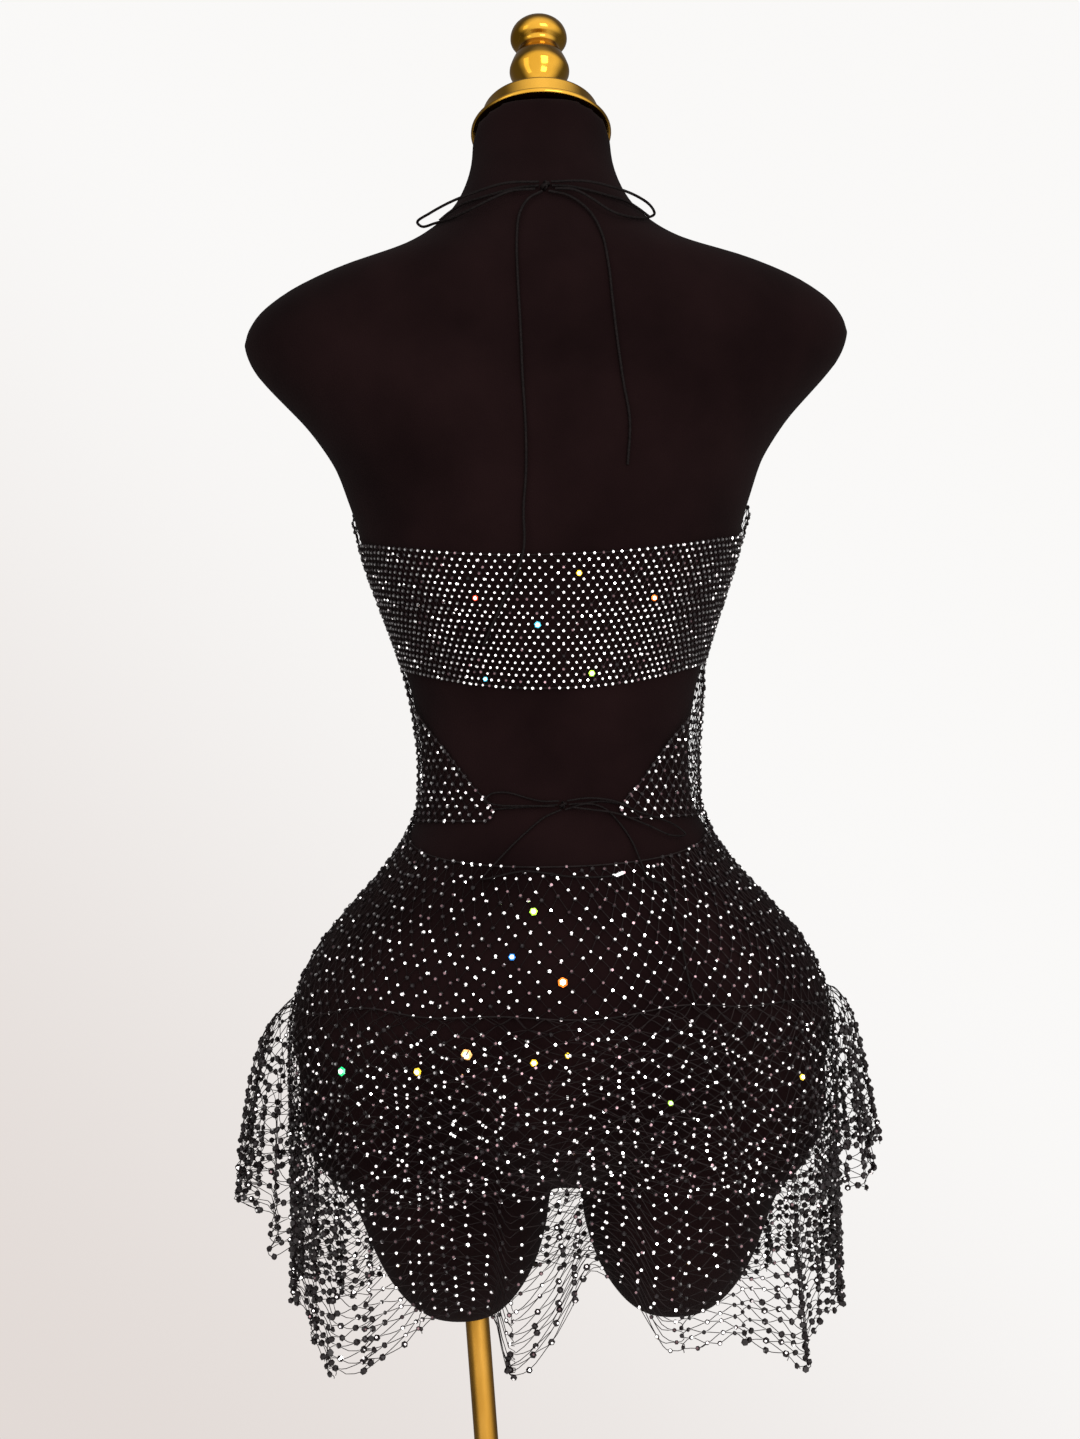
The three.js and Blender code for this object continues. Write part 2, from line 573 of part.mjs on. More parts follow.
// The waist cord's routes over the small of the back
const WAIST_KNOT = onBack(3.8, 1106, 2.6);
const WAIST_ROUTES = {
  waist_strand_left: [[0.4, 1106.2, 2.4], [-12, 1105.6, 1.6], [-27, 1104.8, 1.3], [-40, 1104, 1.6]],
  waist_strand_right: [[7.2, 1106.2, 2.4], [18, 1106.8, 1.6], [28, 1107.6, 1.3], [39.4, 1106, 1.6]],
  waist_tail_left: [
    [2.6, 1103, 2.8], [-8, 1098.5, 1.8], [-19.5, 1089.5, 1.4], [-29.5, 1080.5, 1.4], [-38.5, 1071, 3.4],
    [-45.5, 1063.5, 4.2], [-47.5, 1060.6, 4.2], [-43, 1060.8, 4.2], [-34, 1063, 4.2], [-22, 1064.8, 4],
    [-9, 1063.6, 3.8], [6, 1061, 3.8], [21, 1060.2, 4.2], [34.2, 1060.6, 4.9],
  ],
  waist_tail_right: [
    [5, 1103, 2.8], [19, 1106.4, 3.4], [30, 1103, 2.2], [39, 1094, 1.4], [47, 1081.5, 1.6],
    [51.5, 1068, 4.2], [56, 1058, 4.6], [65.5, 1053.5, 4.6], [70, 1040, 4.6], [74.5, 1020, 4.6],
    [79.5, 993, 4.6], [83, 979.5, 4.6],
  ],
  waist_loop_left: [
    [1.4, 1108.6, 3.4], [-9, 1108.6, 3.4], [-18, 1110.6, 1.6], [-32, 1114.6, 1.4], [-42, 1113.6, 2.4],
    [-44.5, 1109.4, 4.4], [-36, 1106.6, 4.6], [-20, 1106, 4.6], [-1.6, 1105.4, 5],
  ],
  waist_loop_right: [
    [6.4, 1108.6, 3.4], [20, 1110, 3.6], [36, 1107.5, 4.4], [50, 1100.5, 4.4], [62, 1096, 4.6],
    [73, 1090.5, 5], [79, 1084.6, 5.4], [70, 1084.5, 5.4], [55, 1092, 4.6], [36, 1100, 4.4],
    [20, 1102.8, 5.2], [9, 1104.6, 5.2],
  ],
};
const CRIMP_ROUTE = [[35, 1060.6, 5], [39.6, 1062.4, 5]];
const CRIMP_RADIUS = 1.6;

function addCords() {
  const offSkin = (route) => route.map(([x, z, out]) => onBack(x, z, out));
  const steps = (route) => route.length + 1;
  for (const [name, route] of Object.entries(HALTER_ROUTES)) {
    addPiece(body, name, cordTube(offSkin(route), HALTER_CORD_RADIUS, steps(route)), CORD);
  }
  for (const [name, route] of Object.entries(HALTER_LOOPS)) {
    const points = route.map((p) => new THREE.Vector3(...p));
    addPiece(body, name, cordTube(points, HALTER_CORD_RADIUS, steps(route)), CORD);
  }
  for (const [name, route] of Object.entries(WAIST_ROUTES)) {
    addPiece(body, name, cordTube(offSkin(route), WAIST_CORD_RADIUS, steps(route)), CORD);
  }
  addPiece(body, 'cord_tip', cordTube(offSkin(CRIMP_ROUTE), CRIMP_RADIUS, 1), SILVER);
  addPiece(body, 'halter_knot', knot(HALTER_KNOT, 7, 7, 4.4), CORD);
  addPiece(body, 'waist_knot', knot(WAIST_KNOT, 5.6, 5.4, 3.2), CORD);
}

addStand();
addForm();
addNeckTrim();
addBodice();
addBand();
for (const [name, start, end] of [['back', -180, 0], ['front', 0, 180]]) {
  addYokeHalf(name, start, end);
  addSkirtHalf(name, start, end);
  addOverskirtHalf(name, start, end);
}
addCords();

export default dressedForm;
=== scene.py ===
import math
from typing import NamedTuple

import bpy
import numpy as np
from mathutils import Matrix, Vector


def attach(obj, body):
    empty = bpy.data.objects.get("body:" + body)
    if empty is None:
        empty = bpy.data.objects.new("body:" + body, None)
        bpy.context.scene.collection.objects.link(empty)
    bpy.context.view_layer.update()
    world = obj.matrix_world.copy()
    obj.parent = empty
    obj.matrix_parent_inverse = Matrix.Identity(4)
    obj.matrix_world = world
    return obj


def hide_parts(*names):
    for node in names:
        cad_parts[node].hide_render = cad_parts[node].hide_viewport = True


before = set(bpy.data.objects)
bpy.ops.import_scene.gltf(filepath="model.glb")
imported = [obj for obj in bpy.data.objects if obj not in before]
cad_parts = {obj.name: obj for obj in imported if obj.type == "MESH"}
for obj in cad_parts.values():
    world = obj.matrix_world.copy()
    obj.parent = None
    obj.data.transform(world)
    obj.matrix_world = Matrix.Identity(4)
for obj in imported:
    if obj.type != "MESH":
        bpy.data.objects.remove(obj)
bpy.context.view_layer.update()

MM = 0.001
BODY_X = 21
SECTION_POWER = 2.2
SKIN_GAP = 1.05
CLOTH = 1.5
TORSO_BOTTOM_Z = 853
STUB_BOTTOM_Z = 760.5
STUB_TOP_Z = 940
HIP_Z = 955
WAIST_SEAM_Z = 1095
WAIST_SEAM_BACK_DIP = 28
OVERSKIRT_SEAM_Z = 976
OVERSKIRT_LIFT = CLOTH + 0.6
NECKLINE_DIP = 46
BODICE_TOP_Z = 1488
BODICE_BOTTOM_Z = 1096.5
HALTER_SIDE_TOP_Z = 1291
BAND_SIDE_TOP_Z = 1279
BAND_CENTRE_TOP_Z = 1266
BAND_SIDE_BOTTOM_Z = 1197
BAND_CENTRE_BOTTOM_Z = 1181
LEFT_SIDE_SLACK = 0.2
SIDE_SEAM_DEGREES = 0.08
HEM_FLARE = 1.4
OVERSKIRT_FLARE = 0.45
WAIST_CURVE = 0.8
NECKLINE_CURVE = 1.5
POLE_RADIUS = 8
POLE_LEAN = math.radians(3)
POLE_BOTTOM_Z = 8
POLE_TOP_Z = 826
BASE_RADIUS = 170
NECK_TOP_Y = 18
NECK_TOP_Z = 1555.5
NECK_TOP_RADIUS = 46
NECK_TILT = math.radians(25.5)
HALTER_CORD_RADIUS = 0.9
WAIST_CORD_RADIUS = 0.65
THREAD_RADIUS = 0.27
HANGING_THREAD_RADIUS = 0.3
SEAM_THREAD_RADIUS = 0.35
WAIST_THREAD_RADIUS = 0.5
STONE_RADIUS = 1.6
HANGING_STONE_RADIUS = 2.35
BAND_STONE_RADIUS = 1.4
STONE_LIFT = 0.3
LEAST_GAP = 0.84
YOKE_CLOSER = 0.1
SKIRT_CLOSER = 0.3
HALTER_CLOSER = 0.3
YOKE_LEAN = 2
OVERSKIRT_LEAN = 1.5
SKIRT_DRIFT = 1.3
OVERSKIRT_DRIFT = -2
SKIRT_RIPPLE = 1.6
OVERSKIRT_RIPPLE = 1.2
rng = np.random.default_rng(7)


# Camera, at the photograph's viewing angle
PICTURE_HEIGHT_PX = 1439
MM_PER_PX = 0.67
CAMERA_DISTANCE = 1800
CAMERA_PLACE = (11.3, -CAMERA_DISTANCE, 1161)
CAMERA_ROLL = math.radians(1.3)
SENSOR = 36


def add_camera():
    data = bpy.data.cameras.new("camera")
    data.sensor_width = SENSOR
    data.lens = SENSOR * CAMERA_DISTANCE / (PICTURE_HEIGHT_PX * MM_PER_PX)
    camera = bpy.data.objects.new("camera", data)
    camera.location = [c * MM for c in CAMERA_PLACE]
    camera.rotation_euler = (math.pi / 2, CAMERA_ROLL, 0)
    bpy.context.collection.objects.link(camera)
    bpy.context.scene.camera = camera


# Smooth tables

def smooth_step(a, b, start, end, t):
    """The way from a to b, which leaves at one slope and arrives at the other."""
    return a + t * (start + t * (3 * (b - a) - 2 * start - end + t * (2 * (a - b) + start + end)))


def lookup(columns, rows):
    """A function that reads a table's columns at any values of its first column."""
    table = np.array(rows, float)
    key, value = table[:, 0], table[:, 1:]
    step = np.diff(value, axis=0) / np.diff(key)[:, None]
    before, after = step[:-1], step[1:]
    agree = before * after > 0
    middle = np.where(agree, 2 * before * after / np.where(agree, before + after, 1), 0)
    slope = np.vstack([step[:1], middle, step[-1:]])

    def read(at):
        k = np.clip(np.asarray(at, float), key[0], key[-1])
        i = np.clip(np.searchsorted(key, k, side="right") - 1, 0, len(key) - 2)
        width = key[i + 1] - key[i]
        t = (k - key[i]) / width
        found = {}
        for c, name in enumerate(columns[1:]):
            start, end = slope[i, c] * width, slope[i + 1, c] * width
            found[name] = smooth_step(value[i, c], value[i + 1, c], start, end, t)
        return found

    return read


# The form's level sections: half width, depth behind and in front, the neck's shift and tilt
form_section = lookup(["z", "half", "back", "front", "y", "tilt"], [
    [TORSO_BOTTOM_Z, 40, 40, 36, 0, 0], [870, 105, 84, 76, 0, 0], [895, 150, 108, 94, 0, 0],
    [925, 173, 119, 102, 0, 0], [955, 180, 121, 104, 0, 0], [985, 174, 117, 102, 0, 0],
    [1010, 162, 110, 99, 0, 0], [1035, 142, 101, 94, 0, 0], [1062, 117, 91, 88, 0, 0],
    [1088, 98, 82, 83, 0, 0], [1110, 90, 77, 80, 0, 0], [1135, 89, 74, 80, 0, 0], [1165, 92, 74, 83, 0, 0],
    [1195, 99, 77, 91, 0, 0], [1220, 107, 81, 101, 0, 0], [1245, 116, 85, 111, 0, 0],
    [1270, 124, 88, 117, 0, 0], [1293, 129.5, 91, 117, 0, 0], [1313, 136, 93, 113, 0, 0],
    [1330, 142, 94, 108, 0, 0], [1345, 151, 94, 103, 0, 0], [1360, 162, 94, 98, 0, 0],
    [1374, 175, 93, 93, 0, 0], [1388, 188, 91, 88, 0, 0], [1400, 197, 89, 84, 0, 0],
    [1415, 202, 86, 79, 0, 0], [1431, 195, 84, 75, 0, 0], [1447, 176, 81, 72, 0, 0],
    [1463, 142, 77, 69, 0, 0], [1478, 94, 70, 64, 0, 0.02], [1490, 73, 64, 59, 1, 0.06],
    [1503, 60, 58, 54, 4, 0.12], [1518, 52, 52, 50, 8, 0.21], [1535, 47.5, 47.5, 47.5, 13, 0.31],
    [NECK_TOP_Z, NECK_TOP_RADIUS, NECK_TOP_RADIUS, NECK_TOP_RADIUS, NECK_TOP_Y, 0.445],
])

# Each thigh stub's level sections: its middle's distance from the centre plane and its own half sizes
thigh_section = lookup(["z", "middle", "half", "back", "front"], [
    [STUB_BOTTOM_Z, 71, 9, 9, 9], [762, 71, 16, 17, 17], [767, 71, 26, 31, 30], [777, 71.5, 37, 46, 45],
    [797, 72, 50, 66, 63], [820, 73, 59, 79, 73], [845, 76, 66, 88, 80], [870, 87, 77.5, 95, 84],
    [900, 91, 84.5, 94, 82], [STUB_TOP_Z, 90, 85, 86, 74],
])

# The surface that the skirt hangs on below the hips
hang_section = lookup(["z", "half", "back", "front"], [
    [735, 181, 125, 108], [850, 181, 125, 108], [925, 181, 123, 106], [955, 180, 121, 104],
])

# How far the taut net stands off the form at the sides and the front between bust and hips
stand_off = lookup(["z", "side", "front"], [
    [1036, 0, 0], [1062, 0.6, 3], [1080, 2, 7], [1098, 3.5, 12], [1125, 5.5, 18], [1150, 6, 21],
    [1175, 4.5, 19], [1195, 0.6, 14], [1230, 0, 6], [1265, 0, 0.6], [1290, 1.6, 0.8], [1325, 2.8, 2],
    [1440, 3, 2.4],
])

# The long skirt's folds round the hem, from the wearer's left side over the back
LONG_FOLDS = [
    [-180, -9, 796], [-168, 3, 788], [-158, -6, 776], [-148, 8, 762], [-136, 14, 749], [-126, 4, 762],
    [-116, 2, 785], [-109, 9, 793], [-103, 0, 786], [-99, 26, 757], [-93, 14, 772], [-86, 0, 815],
    [-80, 4, 804], [-74, 22, 770], [-68, 12, 768], [-61, 20, 772], [-55, 8, 766], [-49, 20, 757],
    [-42, 14, 747], [-33, 2, 768], [-21, 7, 775], [-11, -3, 774], [0, 1, 790], [12, -5, 794], [25, 9, 772],
    [38, 4, 786], [50, 20, 764], [61, 2, 782], [72, 20, 760], [82, 0, 778], [93, 22, 768], [104, 2, 785],
    [115, 20, 766], [127, 4, 780], [140, 18, 758], [152, -3, 780], [165, 6, 784], [180, -9, 796],
]

# The overskirt's folds, which add to the long skirt's
OVER_FOLDS = [
    [-180, 31, 850], [-170, 38, 850], [-161, 20, 844], [-152, 29, 822], [-140, 11, 838], [-128, 20, 850],
    [-117, 9, 858], [-106, 18, 862], [-96, 9, 866], [-85, 16, 864], [-75, 9, 866], [-64, 19, 862],
    [-53, 9, 860], [-42, 24, 855], [-31, 9, 858], [-20, 20, 852], [-10, 18, 868], [0, 24, 878], [12, 16, 868],
    [25, 24, 858], [38, 9, 866], [52, 24, 858], [66, 9, 868], [80, 22, 860], [94, 9, 868], [108, 24, 860],
    [122, 9, 866], [136, 26, 856], [150, 11, 862], [165, 33, 852], [180, 31, 850],
]


def round_lookup(rows):
    """A fold table that goes once round, with its ends joined smoothly."""
    first, last = rows[-2], rows[1]
    joined = [[first[0] - 360, *first[1:]], *rows, [last[0] + 360, *last[1:]]]
    return lookup(["degrees", "out", "hem"], joined)


long_fold = round_lookup(LONG_FOLDS)
over_fold = round_lookup(OVER_FOLDS)

# The halter panel's side edge: its angle round the form at each height, -90 at the middle of the back
bodice_edge = lookup(["z", "degrees"], [
    [1095, -62], [1101, -66], [1108, -63.5], [1118, -56], [1130, -48], [1145, -37], [1160, -24],
    [1175, -10], [1188, SIDE_SEAM_DEGREES], [HALTER_SIDE_TOP_Z, SIDE_SEAM_DEGREES], [1308, 17], [1340, 38],
    [1380, 55.5], [1420, 63], [1455, 62.5], [1466, 58], [1478, 43], [BODICE_TOP_Z, 31],
])


# Points of the surfaces, in millimetres

def smoothstep(value, low, high):
    t = np.clip((value - low) / (high - low), 0, 1)
    return t * t * (3 - 2 * t)


def section_point(section, degrees, z, out):
    angle = np.radians(degrees)
    depth = np.where(np.sin(angle) > 0, section["front"], section["back"])
    across = np.sign(np.cos(angle)) * np.abs(np.cos(angle)) ** (2 / SECTION_POWER)
    along = np.sign(np.sin(angle)) * np.abs(np.sin(angle)) ** (2 / SECTION_POWER)
    slope_x = np.sign(across) * np.abs(across) ** (SECTION_POWER - 1) / section["half"]
    slope_y = np.sign(along) * np.abs(along) ** (SECTION_POWER - 1) / depth
    size = np.hypot(slope_x, slope_y)
    x = section["half"] * across + out * slope_x / size
    y = depth * along + out * slope_y / size
    tilt = section.get("tilt", 0)
    return np.stack([x + BODY_X, section.get("y", 0) + y * np.cos(tilt), z - y * np.sin(tilt)], axis=-1)


def on_form(degrees, z, out):
    return section_point(form_section(z), degrees, z, out)


def bridge(degrees, z):
    """The cloth's distance off the form where it bridges the waist."""
    off = stand_off(z)
    angle = np.radians(degrees)
    front = np.maximum(0, np.sin(angle)) ** 2
    side = smoothstep(np.sin(angle), -0.8, 0) * (1 - front)
    slack = np.where(np.cos(angle) < 0, LEFT_SIDE_SLACK, 1)
    return SKIN_GAP + front * off["front"] + side * slack * off["side"]


def hip_section(z):
    hanging, fitted = hang_section(z), form_section(z)
    return {name: np.where(z < HIP_Z, hanging[name], fitted[name]) for name in ("half", "back", "front")}


def long_fold_out(degrees, z):
    fold = long_fold(degrees)
    return fold["out"] * np.clip((HIP_Z - z) / (HIP_Z - fold["hem"]), 0, 1) ** HEM_FLARE


def skirt_top(degrees):
    return WAIST_SEAM_Z - WAIST_SEAM_BACK_DIP * np.maximum(0, np.sin(np.radians(-degrees))) ** WAIST_CURVE


def waves(degrees, terms):
    """A sum of waves round the body, each given as its size, its count and its start."""
    a = np.radians(degrees)
    return sum(size * np.sin(count * a + start) for size, count, start in terms)


def ripple(degrees, down):
    """Small uneven waves that grow towards a cut hem."""
    return waves(degrees, [(1, 31, 0.7), (0.8, 47, 2.1 + 2 * down), (0.6, 73, 4)]) * down ** 2


def lean_rows(degrees):
    """The slow rise and fall of the net's rows round the body, as a share of the height."""
    return waves(degrees, [(0.012, 3, 0.6), (0.009, 7, 2), (0.005, 13, 0)])


def seam_z(degrees):
    """The seam between the yoke and the skirt layers, which rises and falls a little."""
    return OVERSKIRT_SEAM_Z + waves(degrees, [(2.4, 5, 0.4), (1.7, 11, 2)])


def drift(degrees, down, amount):
    """The sideways wander of the net's columns between its upper and lower edge."""
    return degrees + amount * waves(degrees, [(1, 4, 1), (0.6, 9, 3), (0.4, 17, 5)]) * np.sin(np.pi * down)


def closer_below(down, share):
    """Each row's place down the cloth, with the rows wider apart above and closer below by this share."""
    return (1 + share) * down - share * down ** 2


def spaced_rows(degrees, down, closer, lean=1):
    """The same, with the rows rising and falling round the body."""
    return closer_below(down, closer) + lean * lean_rows(degrees) * np.sin(np.pi * down)


def turned_from(at, degrees):
    """How far round the body each angle lies from a place, the short way."""
    return (degrees - at + 180) % 360 - 180


# Creases pressed into the hanging cloth: where each lies round the hem, its half width, how far the cloth
# doubles over itself there, how far it stands out, and where down the cloth it starts
SKIRT_CREASES = [
    [-177, 2.6, 2.4, 4, 0.2], [-170, 2.4, 2.3, -4, 0.25], [-163, 2.8, 2.6, 4, 0.2], [-151, 2, 1.2, -3, 0.5],
    [-139, 2.4, 1.8, 3, 0.4], [-130, 2.8, 2.4, 4, 0.35], [-119, 1.8, 1.1, -3, 0.6], [-99, 2, 2.2, 3, 0.5],
    [-89, 1.8, 1.2, -3, 0.65], [-71, 2.2, 1.6, 3, 0.5], [-57, 2, 1.3, -3, 0.55], [-42, 2.8, 2.4, 4, 0.35],
    [-33, 2, 1.4, 3, 0.5], [-15, 2.6, 2, 4, 0.4], [-4, 2, 1.3, -3, 0.5], [9, 2.4, 1.8, 3, 0.4],
    [31, 2.2, 1.4, -3, 0.5], [44, 2.6, 2.2, 4, 0.35], [66, 2, 1.5, 3, 0.5], [79, 2.4, 1.9, 3, 0.45],
    [98, 2, 1.3, -3, 0.5], [111, 2.6, 2.2, 4, 0.4], [134, 2.2, 1.6, 3, 0.5], [147, 2.4, 1.6, -3, 0.45],
    [157, 2.8, 2.4, 4, 0.25], [168, 2.6, 2.4, -4, 0.2],
]
# The yoke's gathers, in the same way, but growing up from the seam to the waist and lying flat
YOKE_GATHERS = [[-143, 9, 0.45, 0, 0.1], [-37, 9, 0.3, 0, 0.2], [38, 8, 0.35, 0, 0.1], [141, 9, 0.4, 0, 0.1]]
OVERSKIRT_CREASES = [
    [-178, 2.6, 2.5, 4, 0.15], [-171, 2.6, 2.4, -4, 0.2], [-164, 3, 2.6, 4, 0.15], [-156, 2.2, 1.4, -3, 0.45],
    [-146, 2.6, 2, 3, 0.3], [-134, 2.2, 1.3, 3, 0.5], [-112, 2, 1.1, -2, 0.6], [-90, 2, 1.2, 2, 0.6],
    [-69, 2.2, 1.2, -2, 0.6], [-47, 2.4, 1.6, 3, 0.45], [-36, 2.6, 2.1, 3, 0.3], [-25, 2.2, 1.5, -3, 0.4],
    [-13, 2.8, 2.3, 4, 0.25], [-3, 2.2, 1.4, 3, 0.4], [18, 2.6, 2, 3, 0.35], [45, 2.4, 1.6, -3, 0.45],
    [58, 2.6, 2, 3, 0.35], [87, 2.4, 1.7, 3, 0.4], [101, 2.2, 1.3, -3, 0.5], [129, 2.6, 2.1, 3, 0.35],
    [143, 2.2, 1.4, -3, 0.45], [157, 2.6, 2.4, 4, 0.25], [166, 2.6, 2.4, -4, 0.2], [174, 2.6, 2.5, 4, 0.15],
]


def creased(creases, degrees, down):
    """The angle that the cloth is drawn to by its creases, and how far they stand out."""
    drawn, out = degrees, 0
    for at, half, doubled, depth, start in creases:
        off = turned_from(at, degrees) / half
        grown = np.exp(-off ** 2) * smoothstep(down, start, 1)
        drawn = drawn - doubled * half * off * grown
        out = out + depth * grown
    return drawn, out


# Where the yoke's rows rise towards the sides: the place, its half width and the rise
YOKE_RISES = [[-174, 15, 13], [-6, 14, 8], [12, 14, 8], [168, 15, 10]]


def yoke(degrees, down, out):
    """The skirt's yoke, from the waist to the seam that both skirt layers hang from."""
    degrees, _ = creased(YOKE_GATHERS, degrees, 1 - down)
    top = skirt_top(degrees)
    spaced = spaced_rows(degrees, down, YOKE_CLOSER, YOKE_LEAN)
    rise = sum(lift * np.exp(-(turned_from(at, degrees) / half) ** 2) for at, half, lift in YOKE_RISES)
    z = top + (seam_z(degrees) - top) * spaced + rise * np.sin(np.pi * down)
    return section_point(hip_section(z), degrees, z, bridge(degrees, z) + CLOTH / 2 + out)


def lower_skirt(degrees, down, out):
    """The long skirt from that seam to the hem."""
    degrees, crease = creased(SKIRT_CREASES, drift(degrees, down, SKIRT_DRIFT), down)
    hem, seam = long_fold(degrees)["hem"], seam_z(degrees)
    z = seam + (hem - seam) * spaced_rows(degrees, down, SKIRT_CLOSER)
    uneven = SKIRT_RIPPLE * ripple(degrees, down) + crease
    total = bridge(degrees, z) + long_fold_out(degrees, z) + uneven + CLOTH / 2 + out
    return section_point(hip_section(z), degrees, z, np.maximum(total, LEAST_GAP + out))


def overskirt(degrees, down, out):
    """The short outer layer."""
    degrees, crease = creased(OVERSKIRT_CREASES, drift(degrees, down, OVERSKIRT_DRIFT), down)
    spaced = spaced_rows(degrees + 40, down, SKIRT_CLOSER, OVERSKIRT_LEAN)
    fold, seam = over_fold(degrees), seam_z(degrees)
    z = seam + (fold["hem"] - seam) * spaced
    fall = np.clip((seam - z) / (seam - fold["hem"]), 0, 1)
    uneven = OVERSKIRT_RIPPLE * ripple(degrees + 3, down) + crease
    base = SKIN_GAP + OVERSKIRT_LIFT + CLOTH / 2 + out
    total = base + long_fold_out(degrees, z) + fold["out"] * fall ** OVERSKIRT_FLARE + uneven
    return section_point(hip_section(z), degrees, z, total)


def halter_level(down):
    return BODICE_TOP_Z + (BODICE_BOTTOM_Z - BODICE_TOP_Z) * closer_below(down, HALTER_CLOSER)


def halter(degrees, down, out):
    """The halter panel, with columns of the net at fixed angles and rows at fixed levels."""
    level = halter_level(down)
    edge = bodice_edge(level)["degrees"]
    share = np.clip((degrees - edge) / (180 - 2 * edge), 0, 1)
    curve = np.sin(np.pi * share) ** NECKLINE_CURVE
    z = level - NECKLINE_DIP * smoothstep(level, HALTER_SIDE_TOP_Z, BODICE_TOP_Z) * curve
    return on_form(degrees, z, bridge(degrees, z) + CLOTH / 2 + out)


# A crease along the band: where down it, its half width, how much of its rows it takes up and its depth
BAND_CREASE = {"down": 0.45, "half": 0.05, "pinch": 0.016, "depth": 0.5}


def band(degrees, down, out):
    middle = np.sin(np.radians(-degrees)) ** 2
    top = BAND_SIDE_TOP_Z + (BAND_CENTRE_TOP_Z - BAND_SIDE_TOP_Z) * middle
    bottom = BAND_SIDE_BOTTOM_Z + (BAND_CENTRE_BOTTOM_Z - BAND_SIDE_BOTTOM_Z) * middle
    off = (down - BAND_CREASE["down"]) / BAND_CREASE["half"]
    near = np.exp(-off ** 2)
    z = top + (bottom - top) * (down - BAND_CREASE["pinch"] * off * near)
    trough = BAND_CREASE["depth"] * near
    return on_form(degrees, z, SKIN_GAP + CLOTH / 2 - trough + out)


# Pieces from arrays

def place(piece, slot, *nodes):
    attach(piece, "root")
    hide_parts(*nodes)


class Parts:
    """Points and faces that are joined into one mesh."""

    def __init__(self):
        self.points, self.faces, self.marks, self.count = [], [], [], 0

    def add(self, points, faces, marks):
        points = points.reshape(-1, 3)
        for face, mark in zip(faces, marks):
            self.faces.append(face + self.count)
            self.marks.append(np.broadcast_to(mark, len(face)))
        self.points.append(points)
        self.count += len(points)

    def build(self, name, materials, smooth=False):
        mesh = bpy.data.meshes.new(name)
        points = np.concatenate(self.points) * MM
        corners = np.concatenate([face.ravel() for face in self.faces])
        sizes = np.concatenate([np.full(len(face), face.shape[1]) for face in self.faces])
        mesh.vertices.add(len(points))
        mesh.vertices.foreach_set("co", points.ravel())
        mesh.loops.add(len(corners))
        mesh.loops.foreach_set("vertex_index", corners.astype(np.int32))
        mesh.polygons.add(len(sizes))
        mesh.polygons.foreach_set("loop_start", np.concatenate([[0], np.cumsum(sizes)[:-1]]).astype(np.int32))
        mesh.polygons.foreach_set("material_index", np.concatenate(self.marks).astype(np.int32))
        mesh.polygons.foreach_set("use_smooth", np.full(len(sizes), smooth))
        for material in materials:
            mesh.materials.append(material)
        mesh.update(calc_edges=True)
        mesh.validate()
        piece = bpy.data.objects.new(name, mesh)
        bpy.context.collection.objects.link(piece)
        return piece


def unit(vectors):
    return vectors / np.maximum(np.linalg.norm(vectors, axis=-1, keepdims=True), 1e-9)


def walls_between(rings):
    """Four-sided faces between neighbouring rings, from the numbers of their points."""
    a, b = rings[..., :-1, :], rings[..., 1:, :]
    return np.stack([a, np.roll(a, -1, axis=-1), np.roll(b, -1, axis=-1), b], axis=-1)


def add_skin(parts, rings):
    """A closed skin over rings of points, from the lowest up."""
    index = np.arange(rings[..., 0].size).reshape(rings.shape[:2])
    parts.add(rings, [walls_between(index).reshape(-1, 4), index[:1, ::-1], index[-1:]], [0, 0, 0])


def add_tubes(parts, lines, radius, sides=3):
    """Closed round tubes along lines, an array of (line, step, 3)."""
    count, steps = lines.shape[:2]
    along = unit(np.gradient(lines, axis=1))
    outward = lines - [BODY_X, 0, 0]
    outward[..., 2] = 0.3 * np.linalg.norm(outward[..., :2], axis=-1)
    side = unit(np.cross(along, outward))
    up = np.cross(side, along)
    turn = np.linspace(0, 2 * np.pi, sides, endpoint=False)
    ring = side[..., None, :] * np.cos(turn)[:, None] + up[..., None, :] * np.sin(turn)[:, None]
    points = lines[..., None, :] + radius * ring
    index = np.arange(count * steps * sides).reshape(count, steps, sides)
    parts.add(points, [walls_between(index).reshape(-1, 4), index[:, 0, ::-1], index[:, -1]], [0, 0, 0])


# The stones' places in a net's list of materials, which starts with the thread and ends with the painted
# coloured glints. The cup's place also serves the facets and tables painted black as painted dark reflection,
# and the dim place holds a darker crystal as painted dim reflection
CUP_AND_PAINTED_DARK, CRYSTAL, PAINTED_DIM, CORE = 1, 2, 3, 4
STONE_SIDES = 6
FLASH_SIZE = 1.9


class Stone(NamedTuple):
    """A kind of stone.

    Its rings go from its cup to its flat table, each as radius and height against the stone's radius. The
    shares of its side facets and of its tables that shine follow, then of tables given a darker copy of the
    crystal as painted dim reflection; all other facets and tables get the cup's black as painted dark
    reflection.
    """
    rings: list
    facets: float
    tables: float
    painted_dim: float
    tilt: float


# Kinds of stone: against the form, packed in the band, hanging free and flashing. Their shares set how many
# facets and tables get painted dark and painted dim reflection
AGAINST_FORM = Stone([(0.8, -0.5), (1.0, 0.1), (0.56, 0.58)], 0.12, 0.62, 0.3, 0.18)
PACKED = Stone([(0.8, -0.5), (1.0, 0.1), (0.58, 0.55)], 0.08, 0.88, 0.1, 0.08)
HANGING = Stone([(0.8, -0.6), (1.0, 0.0), (0.34, 0.6)], 0.02, 0.55, 0.1, 0.3)
FLASHING = Stone([(0.8, -0.5), (1.0, 0.1), (0.6, 0.5)], 1, 1, 0, 0.05)


